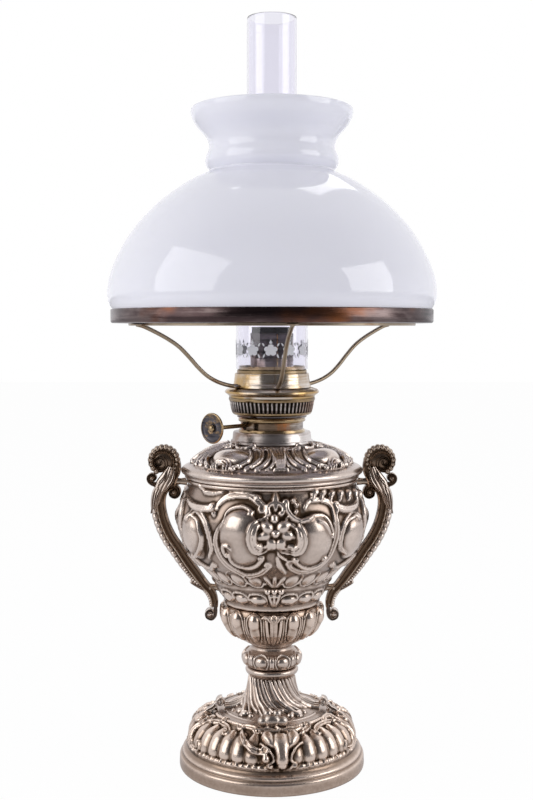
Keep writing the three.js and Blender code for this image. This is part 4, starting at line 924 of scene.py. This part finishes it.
light.append(ball((60.2, 0, 137.4), (1.5, 2.0, 1.5), 8, 12))
for side, mirror in (("right", 1), ("left", -1)):
    for kind, parts, finish, slot in (
        ("scroll_handle", brown, dark_bronze, "bronzed_casting"),
        ("handle_edging", light, edge_silver, "silvered_casting"),
    ):
        points, faces = joined(parts)
        shape = points * [mirror, 1, 1], [face[::mirror] for face in faces]
        add_piece(f"{side}_{kind}", shape, finish, "urn_and_foot", [f"{side}_handle"], 40)
    coat([f"{side}_handle_lower_screw", f"{side}_handle_upper_screw"], forged_iron)

# The oil font is a thin tinned vessel that drops into the urn, with two beads pressed round it and one lapped
# and soldered seam.
tinned = metal(
    "tinned_sheet", (0.12, 0.11, 0.10), (0.38, 0.37, 0.35), (0.6, 0.59, 0.57), (0.5, 0.34),
    (0.26, 0.2, 0.13), 40.0, relief=False,
)


def turned(name, outline, finish, body, replaced, columns=180):
    """A closed ring from (radius, z) points in order round its section."""
    points = []
    for radius, z in outline:
        for k in range(columns):
            a = 2 * math.pi * k / columns
            points.append((radius * math.sin(a), -radius * math.cos(a), z))
    add_piece(name, (points, grid_faces(len(outline), columns)), finish, body, replaced, sharp=32)


font_outline = [
    (0.3, 138.5), (20, 138.5), (31.2, 138.5), (33.4, 139.2), (38.2, 142.8), (44.5, 152.4), (54.2, 163.0),
    (57, 169.6), (57.8, 173), (57.8, 178.6), (58.3, 179.2), (58.3, 180.2), (57.8, 180.8), (57.8, 212),
    (58.2, 212.6), (58.2, 213.4), (57.8, 214), (57.8, 222.4), (56.8, 222.4), (56.8, 173.2), (53.4, 164),
    (43.8, 153.4), (37.5, 143.8), (31.8, 139.5), (0.3, 139.5),
]
turned("font_vessel", font_outline, tinned, "font", ["oil_font"])
lap_angle = 0.6
lap_radius = 57.6
lap_half_width = 2.2
lap_swell = 0.011
lap_place = np.array([math.sin(lap_angle), math.cos(lap_angle), 0]) * lap_radius
lap_side = np.array([math.cos(lap_angle), -math.sin(lap_angle), 0]) * lap_half_width
lap_path = [lap_place + np.array([0, 0, z]) for z in (174.0, 190, 206, 221.0)]
seam = swept(lap_path, [lap_side] * 4, [lap_place * lap_swell] * 4, round_bar)
add_piece("font_seam", seam, tinned, "font", ["oil_font"])

# The cover is cast, silvered and soldered to the font's rim: four smooth pillows between shell leaves on a
# dome, with a flange that rests on the urn. Its silver is painted lighter than the urn's, as painted light.
cover_outside = [
    (63.8, 217.2), (65.2, 218.0), (64.8, 219.0), (64.6, 219.8), (66.4, 220.4), (67.6, 221.6), (67.8, 223.0),
    (67.0, 224.4), (65.4, 225.6), (63.0, 226.6), (61.0, 227.2), (60.8, 228.0), (59.6, 228.6), (58.2, 229.6),
    (56.0, 231.4), (53.0, 233.4), (49.0, 235.4), (44.4, 237.2), (39.6, 238.8), (35.4, 240.4), (32.4, 241.6),
    (30.6, 242.4), (29.6, 242.5),
]
cover_inside = [(24.6, 242.4), (24.6, 239.2), (40, 236.4), (50, 231), (58, 224.5), (58.2, 217.2)]
cover = Casting(cover_outside, cover_inside, step=0.5, columns=700)
shell_leaves = [
    (2.8, 3.0, channelled, (1.2, 0), [(5.5, 240.6), (4.6, 238), (4.4, 234), (6.6, 231), (10, 228.9)]),
    (2.8, 3.0, channelled, (1.2, -0.9), [(14, 240.8), (9, 239.4), (8.6, 235.4), (12, 231.6), (16.6, 229.2)]),
    (3.0, 3.0, channelled, (1.2, -1.0), [(24, 240.8), (17, 239.2), (15, 235.6), (18.6, 231.8), (24, 229.6)]),
    (2.4, 3.0, rounded, (0, -1.2), [(31, 239.8), (25, 237), (24, 233.8), (28, 231.2), (34, 229.2)]),
    (2.2, 2.6, rounded, (1.2, 0), [(30, 242), (38, 240.6), (46, 240.4)]),
]
first_leaf = 6
pillow_turn = 46
for k in range(4):
    at = first_leaf + 90 * k
    cover.boss(at + pillow_turn, 235.6, 17.0, 9.4, 4.6, power=0.6)
    for step in range(-2, 3):
        line = [(step * 1.1, 228.6), (step * 1.5, 233.5), (step * 3.4, 240.4)]
        cover.stroke(line, 2.5, 2.7, ends=(0.7, 0.8), at=at)
    for step in (-1.5, -0.5, 0.5, 1.5):
        cover.boss(at + step * 2.6, 228.9, 1.6, 1.5, 2.4)
    for side in (-1, 1):
        for width, height, section, curls, line in shell_leaves:
            cover.stroke(line, width, height, section, curls=curls, at=at, side=side)
        for a, z in ((20, 230.4), (29, 230), (27.4, 240.6)):
            cover.boss(at + side * a, z, 1.5, 1.5, 2.8)
    for reach in (3.2, 5.6, 8.0):
        shoulder = 229 + reach * 0.34
        line = [(-1, 228.4), (-0.8, shoulder), (0, 229.4 + reach * 0.48), (0.8, shoulder), (1, 228.4)]
        arch = [(reach * share, z) for share, z in line]
        cover.stroke(arch, 1.5, 5.4 - reach * 0.3, ends=(0.8, 0.8), at=at + pillow_turn)
# A lighter copy of the urn's silver, as painted light on the cover.
lit_silver = metal(
    "lit_silver", (0.065, 0.04, 0.026), (0.45, 0.36, 0.31), (0.88, 0.77, 0.69), (0.42, 0.25)
)
add_casting("cover", cover, lit_silver, "font_cover", "font")


# The burner is spun and pressed from brass, once silvered, with the heat's orange and brown stains. Its
# collar and neck are rings turned to fine steps, and its outer wick tube has one soldered seam.
def spun(name, hollow, plain, crest, rough, stain, stain_scale, lines=0.25, run=(1, 1, 1.6)):
    """Spun sheet metal: fine turning lines round the axis, and stains that run along them."""
    tree = Tree(bpy.data.materials.new(name))
    cloud = tree.noise(16.0, 5.0, 0.62, (1, 1, 2.2))
    streak = tree.noise(60.0, 4.0, 0.6, (0.35, 0.35, 9.0))
    fine = tree.noise(300.0, 2.0, 0.6)
    low = tree.step(cloud + (streak - 0.5) * 0.5, 0.28, 0.5)
    high = tree.step(cloud + (streak - 0.5) * 0.4, 0.5, 0.66)
    color = tree.mix(high, tree.mix(low, hollow, plain), crest)
    patch = tree.step(tree.noise(stain_scale, 4.0, 0.6, run), 0.52, 0.66)
    color = tree.mix(patch * 0.8, color, stain)
    roughness = rough + (streak - 0.5) * 0.3 + (1 - low) * 0.12
    grooves = {"Strength": lines, "Distance": 0.0004, "Height": streak + fine * 0.3}
    pits = tree.node("ShaderNodeBump", {}, grooves)
    values = {"Base Color": color, "Roughness": roughness.clamped(), "Metallic": 1.0, "Normal": pits}
    return tree.surface(values)


def burner_ring(name, outline, finish, node):
    turned(name, outline, finish, "burner", [node])


worn_silver = spun(
    "worn_silver_plate", (0.16, 0.11, 0.09), (0.46, 0.41, 0.385), (0.72, 0.67, 0.64), 0.3,
    (0.26, 0.15, 0.10), 20.0,
)
aged_brass = spun(
    "aged_brass", (0.08, 0.045, 0.022), (0.38, 0.27, 0.15), (0.66, 0.55, 0.40), 0.24,
    (0.34, 0.13, 0.035), 24.0,
)
stained_plate = spun(
    "stained_silver_plate", (0.04, 0.02, 0.01), (0.20, 0.14, 0.095), (0.68, 0.60, 0.54), 0.13,
    (0.42, 0.13, 0.02), 34.0, 0.08, (1.8, 1.8, 0.35),
)
nickel = spun(
    "stained_nickel", (0.05, 0.035, 0.026), (0.24, 0.20, 0.19), (0.66, 0.62, 0.62), 0.13,
    (0.16, 0.08, 0.05), 18.0, 0.1, (1.8, 1.8, 0.4),
)
collar_outline = [
    (22.9, 238.5), (24.1, 238.5), (24.1, 242.8), (30.2, 242.8), (30.6, 243.3), (30.4, 244.8), (29.6, 245.1),
    (29.3, 246), (28.9, 250.4), (28.4, 251.2), (22.9, 251.4),
]
turned("collar", collar_outline, worn_silver, "font", ["burner_collar"])
neck_outline = [
    (21.3, 241.9), (22.5, 240.7), (22.5, 251.7), (24.2, 251.7), (24.5, 252.3), (24.2, 252.9), (23.2, 253.1),
    (23.2, 257.4), (23.4, 258.8), (24.2, 259.0), (24.4, 259.9), (24.2, 260.6), (24.9, 261.4), (26.1, 262.4),
    (25, 262.4), (23.2, 260.6), (21.3, 258.2),
]
foot_rim = [
    (22.4, 249.9), (23.8, 249.9), (24.7, 250.6), (24.8, 251.8), (24.3, 252.9), (23.0, 253.3), (22.4, 253),
]
top_rim = [(22.8, 258.4), (23.8, 258.4), (24.8, 259.2), (25, 260.2), (24.6, 261), (23.6, 261)]
burner_ring("neck", neck_outline, stained_plate, "burner_neck")
burner_ring("neck_foot_rim", foot_rim, aged_brass, "burner_neck")
burner_ring("neck_top_rim", top_rim, aged_brass, "burner_neck")
tube_outline = [
    (15.2, 262.7), (25.8, 262.7), (25.8, 263.5), (16.6, 263.5), (16, 264.2), (16, 323.6), (15.8, 324),
    (15.2, 324),
]
burner_ring("outer_wick_tube", tube_outline, nickel, "wick_tube")
seam_angle = math.radians(14)
tube_radius = 16
seam_half_width = 0.5
seam_swell = 0.012
seam_place = np.array([math.sin(seam_angle), -math.cos(seam_angle), 0]) * tube_radius
seam_path = [seam_place + np.array([0, 0, z]) for z in (263.6, 280, 300, 323.4)]
seam_side = np.array([math.cos(seam_angle), math.sin(seam_angle), 0]) * seam_half_width
seam_section = [(math.cos(a), math.sin(a)) for a in np.linspace(0, 5.5, 8)]
seam = swept(seam_path, [seam_side] * 4, [seam_place * seam_swell] * 4, seam_section)
add_piece("wick_tube_seam", seam, aged_brass, "burner", ["wick_tube"])

# The air basket is a thin brass ring with 60 pressed slots; a near-black ring behind its bars is painted
# shade of the dark inside. The flange over it and the gallery, which holds the chimney, are spun rings of
# their own.
# Near-black finish: painted shade for the basket's dark inside and the spindle's hole.
painted_shade_dark = spun(
    "painted_shade_brass", (0.008, 0.006, 0.005), (0.03, 0.022, 0.016), (0.07, 0.05, 0.035), 0.6,
    (0.05, 0.03, 0.015), 30.0,
)
gilded_plate = spun(
    "brass_under_silver", (0.34, 0.22, 0.09), (0.60, 0.52, 0.44), (0.80, 0.75, 0.70), 0.2,
    (0.50, 0.30, 0.08), 26.0, 0.12, (1, 1, 0.8),
)
basket_foot = [
    (26.0, 263.8), (28.2, 263.9), (29.3, 264.8), (29.6, 265.9), (28.9, 265.9), (28.6, 265), (27.6, 264.6),
    (26, 264.6),
]
basket_shade_ring = [
    (27.4, 265.2), (28.1, 265.2), (28.6, 268), (29.5, 273), (29.9, 275.8), (29.2, 275.8), (28.4, 270),
]
basket_rim = [(31.0, 274.2), (31.7, 274.2), (32.1, 275.2), (32, 276.3), (31.2, 276.3)]
burner_ring("basket_foot", basket_foot, aged_brass, "air_basket")
burner_ring("basket_shade_ring", basket_shade_ring, painted_shade_dark, "air_basket")
burner_ring("basket_rim", basket_rim, aged_brass, "air_basket")
basket_slots = 60
bar_half_width = 0.72
bar_half_depth = 0.45
bar_line = [(29.3, 265.6), (29.9, 267.5), (30.6, 271), (31.2, 274.6)]
bars = []
for k in range(basket_slots):
    a = 2 * math.pi * k / basket_slots
    out = np.array([math.sin(a), -math.cos(a), 0])
    side = np.array([math.cos(a), math.sin(a), 0])
    path = [out * radius + np.array([0, 0, z]) for radius, z in bar_line]
    bars.append(swept(path, [side * bar_half_width] * 4, [out * bar_half_depth] * 4, round_bar[::2]))
add_piece("basket_bars", joined(bars), worn_silver, "burner", ["air_basket"])
flange_outline = [
    (30.6, 276.6), (31.7, 276.6), (32, 278), (33.6, 279.2), (35, 280.2), (34.9, 281.4), (33.8, 282.6),
    (30.6, 283.6), (26.3, 283.9), (26.3, 282.9), (30, 282.4), (33, 281), (32.8, 280.2), (31.0, 278.7),
]
gallery_outline = [
    (16.4, 278.1), (25.9, 278.1), (25.9, 296.6), (25.5, 297.2), (24.7, 297.2), (24.7, 299.7), (23.9, 299.7),
    (23.9, 296.4), (25, 294.8), (25, 278.9), (16.4, 278.9),
]
burner_ring("flange", flange_outline, gilded_plate, "gallery_flange")
burner_ring("gallery", gallery_outline, aged_brass, "chimney_gallery")
coat(["draught_tube"], aged_brass)

# The round wick is woven cotton, and slides between the two brass tubes. Its burnt edge stands out of them,
# and its tail hangs in the oil.
cotton = Tree(bpy.data.materials.new("wick_cotton"))
place = cotton.node("ShaderNodeTexCoord", output=3)
height = cotton.node("ShaderNodeSeparateXYZ", {}, {0: place}, 2)
burnt = cotton.step(height + (cotton.noise(900.0) - 0.5) * 0.006, 0.321, 0.3245)
bands = {"wave_type": "BANDS", "bands_direction": "Z"}
weave = cotton.node("ShaderNodeTexWave", bands, {"Scale": 420.0, "Distortion": 1.2})
thread = cotton.mix(weave * 0.5, (0.62, 0.55, 0.41), (0.42, 0.36, 0.25))
bump = cotton.node("ShaderNodeBump", {}, {"Strength": 0.6, "Distance": 0.0006, "Height": weave})
charred = cotton.mix(burnt, thread, (0.016, 0.012, 0.01))
coat(["wick"], cotton.surface({"Base Color": charred, "Roughness": 0.95, "Normal": bump}))

# The winder is a brass spindle through the neck with two toothed wheels that grip the wick. Outside it carries
# a thin bronze disc with a raised rim, held by a small brass cap nut.
spindle_turn = math.radians(227)
spindle_out = np.array([math.cos(spindle_turn), math.sin(spindle_turn), 0])
spindle_side = np.array([-math.sin(spindle_turn), math.cos(spindle_turn), 0])
spindle_offset = -6.3
spindle_height = 256.3
spindle_start = spindle_offset * spindle_side + np.array([0, 0, spindle_height])
coat(["winder_wheel_inner", "winder_wheel_outer"], aged_brass)


def on_spindle(outline, columns=72):
    """A ring turned round the spindle from (distance along it, radius) points."""
    points = []
    for along, radius in outline:
        for k in range(columns):
            a = 2 * math.pi * k / columns
            offset = radius * (math.cos(a) * spindle_side + math.sin(a) * np.array([0, 0, 1]))
            points.append(spindle_start + along * spindle_out + offset)
    return points, [face[::-1] for face in grid_faces(len(outline), columns)]


knob_bronze = spun(
    "knob_bronze", (0.03, 0.028, 0.034), (0.095, 0.088, 0.098), (0.38, 0.28, 0.18), 0.36,
    (0.34, 0.22, 0.11), 130.0, 0.15,
)
# A near-black sleeve round the spindle where it enters the neck is painted shade of its hole.
hole = on_spindle([(18.5, 1.7), (18.5, 3.1), (22.4, 3.2), (22.8, 2.9), (22.8, 1.7)], 40)
spindle = on_spindle([
    (-19, 0.2), (-19, 1.3), (-18.6, 1.5), (54.6, 1.5), (54.8, 1.3), (54.8, 0.9), (56.9, 0.9), (56.9, 0.2),
], 32)
knob = on_spindle([
    (55.1, 1.3), (55.1, 10.2), (55.3, 10.55), (55.9, 10.65), (56.4, 10.55), (56.6, 10.2), (56.5, 9.9),
    (56.1, 9.5), (56.1, 8.9), (56.2, 8.8), (56.1, 8.6), (56.1, 4.6), (56.25, 4.4), (56.1, 4.2), (56.1, 1.3),
])
knob_edge = on_spindle([
    (55.2, 10.3), (55.2, 10.8), (55.6, 11.1), (56.2, 11.1), (56.7, 10.8), (56.8, 10.3), (56.4, 10.1),
])
nut = on_spindle([
    (56.4, 1.25), (56.4, 2.5), (56.8, 2.6), (57.6, 2.2), (58.2, 1.3), (58.4, 0.2), (57.6, 0.2),
    (57.6, 1.25),
], 40)
add_piece("spindle_hole_shade", hole, painted_shade_dark, "burner", ["burner_neck"], 40)
add_piece("spindle", spindle, aged_brass, "winder", ["winder_spindle"], 35)
add_piece("knob", knob, knob_bronze, "winder", ["winder_knob"], 40)
add_piece("knob_edge", knob_edge, aged_brass, "winder", ["winder_knob"], 40)
add_piece("cap_nut", nut, aged_brass, "winder", ["knob_cap_nut"], 40)


# The chimney is blown clear glass: straight over the flame, pinched in above it, and a long narrow tube. A row
# of small frosted flowers is etched round it just over the gallery.
def blown(outside, rim, thick):
    """The outline of blown glass: its outside, the polished rim, and the inside at one thickness."""
    heading = headings(outside)
    inside = outside - np.stack([heading[:, 1], -heading[:, 0]], -1) * thick
    return np.vstack([outside, rim, inside[::-1]])


glass = Tree(bpy.data.materials.new("clear_glass"))
clear_glass = glass.surface(
    {"Base Color": (0.90, 0.89, 0.94, 1), "Roughness": 0.0, "IOR": 1.46, "Transmission Weight": 1.0}
)
chimney_radius = 26.6
flower_height = 311.8
frost_from = 0.02
frost_to = 0.14
chimney_line = smooth_line([
    (chimney_radius, 297.6), (chimney_radius, 320), (chimney_radius, 340), (26.5, 352), (26.0, 357),
    (24.0, 362), (20.8, 367), (18.9, 371), (18.4, 376), (18.4, 400), (18.3, 470), (18.2, 540),
    (18.2, 552.6),
], 2.0)
chimney = blown(chimney_line, [(18.0, 553.2), (17.4, 553.4), (16.9, 553.0)], thick=1.5)
turned("chimney", chimney, clear_glass, "chimney", ["glass_chimney"], 120)


def etched(outline, at, middle=(0, 0), side=1):
    """A thin frosted patch on the straight part of the chimney, fanned out from its middle."""
    outline = [(side * x, y) for x, y in [middle, *outline[::side]]]
    points = []
    for radius in (chimney_radius + frost_from, chimney_radius + frost_to):
        for x, y in outline:
            a = math.radians(at) + x / chimney_radius
            points.append((radius * math.sin(a), -radius * math.cos(a), flower_height + y))
    count = len(outline) - 1
    top = count + 1
    faces = []
    for k in range(count):
        low, high = 1 + k, 1 + (k + 1) % count
        faces += [(0, high, low), (top, top + low, top + high), (low, high, top + high, top + low)]
    return points, faces


frost = Tree(bpy.data.materials.new("etched_frost"))
sand = frost.mix(frost.noise(1500.0, 2.0), (0.78, 0.78, 0.80), (0.95, 0.95, 0.96))
etched_frost = frost.surface({"Base Color": sand, "Roughness": 0.75})
flowers = 12
first_flower = -2
turn = np.linspace(0, 2 * math.pi, 60, endpoint=False)
petal = 0.70 + 0.30 * np.abs(np.cos(2.5 * turn)) ** 0.6
bloom = list(zip(5.0 * petal * np.sin(turn), 4.3 * petal * np.cos(turn)))
leaf = [(4.8, 2.6), (5.8, 3.4), (6.4, 5.2), (5.2, 4.8), (4.6, 3.8)]
twig = [(4.2, -3.6), (4.8, -5.0), (6.0, -5.8), (5.6, -3.6), (4.4, -2.4)]
bud = [(-1.3, 5.2), (0, 7.8), (1.3, 5.2), (0, 4.4)]
patches = []
for k in range(flowers):
    at = 360 / flowers * k + first_flower
    patches.append(etched(bloom, at))
    for side in (-1, 1):
        patches.append(etched(leaf, at, (5.3, 4.0), side))
        patches.append(etched(twig, at, (4.9, -4.2), side))
    patches.append(etched(bud, at, (0, 5.4)))
add_piece("etched_flowers", joined(patches), etched_frost, "chimney", ["glass_chimney"], 30)

# The shade holder is a brass collar that drops over the gallery. Three bent brown wires are soldered to it,
# and their flattened pads carry the ring, a copper channel turned dark by years of heat.
holder_outline = [
    (28.4, 284.2), (29.3, 284.2), (29.2, 285), (28.5, 286.6), (28.1, 288.6), (27.8, 291), (27.6, 293.4),
    (27.5, 294.2), (27.2, 294.5), (26.3, 294.5), (26.3, 293.6), (27.0, 290), (27.6, 287),
]
turned("holder", holder_outline, gilded_plate, "shade_holder", ["holder_collar"])
brown_wire = metal(
    "brown_wire", (0.05, 0.03, 0.018), (0.22, 0.16, 0.10), (0.42, 0.34, 0.25), (0.45, 0.3),
    (0.25, 0.14, 0.08), 40.0, relief=False,
)
wire_line = smooth_line([
    (29.6, 285.6), (35, 285.8), (45, 288.6), (54, 293.2), (61.4, 299.4), (68.8, 307), (77, 314.6),
    (86.5, 320.6), (97, 325.8), (105, 329.2), (109.6, 330.2),
], 1.2)
wire_radius = 1.5
pad_size = (5.2, 3.9, 0.8)
pad_reach = 108.8
pad_height = 330.4
solder_size = (3.0, 3.0, 1.5)
solder_reach = 30.4
solder_height = 285.3
for side, azimuth in (("front", -83), ("right", 32.5), ("left", 211)):
    leg = in_plane(wire_line, [wire_radius], [wire_radius], round_bar, azimuth)
    cosine, sine = math.cos(math.radians(azimuth)), math.sin(math.radians(azimuth))
    points, faces = ball((0, 0, 0), pad_size)
    turn = np.array([[cosine, sine, 0], [-sine, cosine, 0], [0, 0, 1]])
    pad = points @ turn + [pad_reach * cosine, pad_reach * sine, pad_height], faces
    solder = ball((solder_reach * cosine, solder_reach * sine, solder_height), solder_size)
    node = f"holder_leg_{side}"
    add_piece(f"leg_{side}", joined([leg, pad]), brown_wire, "shade_holder", [node])
    add_piece(f"leg_solder_{side}", solder, worn_silver, "shade_holder", [node])
dark_copper = spun(
    "heated_copper", (0.02, 0.014, 0.016), (0.075, 0.05, 0.05), (0.17, 0.13, 0.125), 0.24,
    (0.26, 0.09, 0.03), 9.0, 0.2,
)
ring_outline = [
    (104.2, 331.5), (104.6, 331.1), (117.2, 331.4), (118.3, 331.9), (118.6, 332.8), (118.6, 340.8),
    (118.2, 341.5), (117.6, 341.6), (117.4, 341.0), (117.4, 333.0), (117.0, 332.6), (104.6, 332.6),
    (104.2, 332.2),
]
lip_outline = [(103.4, 331.6), (103.4, 329.9), (103.8, 329.5), (105.2, 329.5), (105.7, 329.9), (105.7, 331.6)]
turned("ring", ring_outline, dark_copper, "shade_holder", ["shade_ring"], 320)
turned("ring_lip", lip_outline, brown_wire, "shade_holder", ["shade_ring"], 320)

# The shade is blown opal glass, milk white with a faint lavender cast, polished by fire. It stands in the
# ring and is open at both ends.
opal = Tree(bpy.data.materials.new("opal_glass"))
milk = opal.mix(opal.noise(9.0, 3.0), (0.89, 0.895, 0.985), (0.91, 0.91, 0.985))
opal_glass = opal.surface({
    "Base Color": milk, "Roughness": 0.09, "IOR": 1.5, "Coat Weight": 0.35, "Coat Roughness": 0.03,
    "Subsurface Weight": 0.25, "Subsurface Scale": 0.004, "Subsurface Radius": (1.0, 1.0, 1.1),
})
shade_line = smooth_line([
    (117.1, 333.0), (117.1, 338), (117.6, 341.5), (119.0, 344), (120.2, 347), (120.9, 351), (120.8, 355.5),
    (119.5, 364), (116.7, 372.6), (112.7, 381.4), (107.9, 390.1), (102.1, 398.9), (94.8, 407.7),
    (86.1, 416.5), (75.1, 425.4), (61.6, 434.4), (52.8, 438.8), (47.2, 441.4), (45.9, 442.9), (47.3, 444.9),
    (48.8, 448), (48.9, 450.8), (48.2, 453.8), (46.6, 457.4), (46.2, 460.7), (47.2, 465), (50, 469.6),
    (53.8, 473.8), (57.2, 478.2), (59.0, 482.4), (59.5, 485.5),
], 1.6)
shade = blown(shade_line, [(59.3, 487.0), (58.6, 487.7), (57.8, 487.6), (57.3, 486.6)], thick=2.3)
turned("shade", shade, opal_glass, "shade", ["opal_shade"], 256)
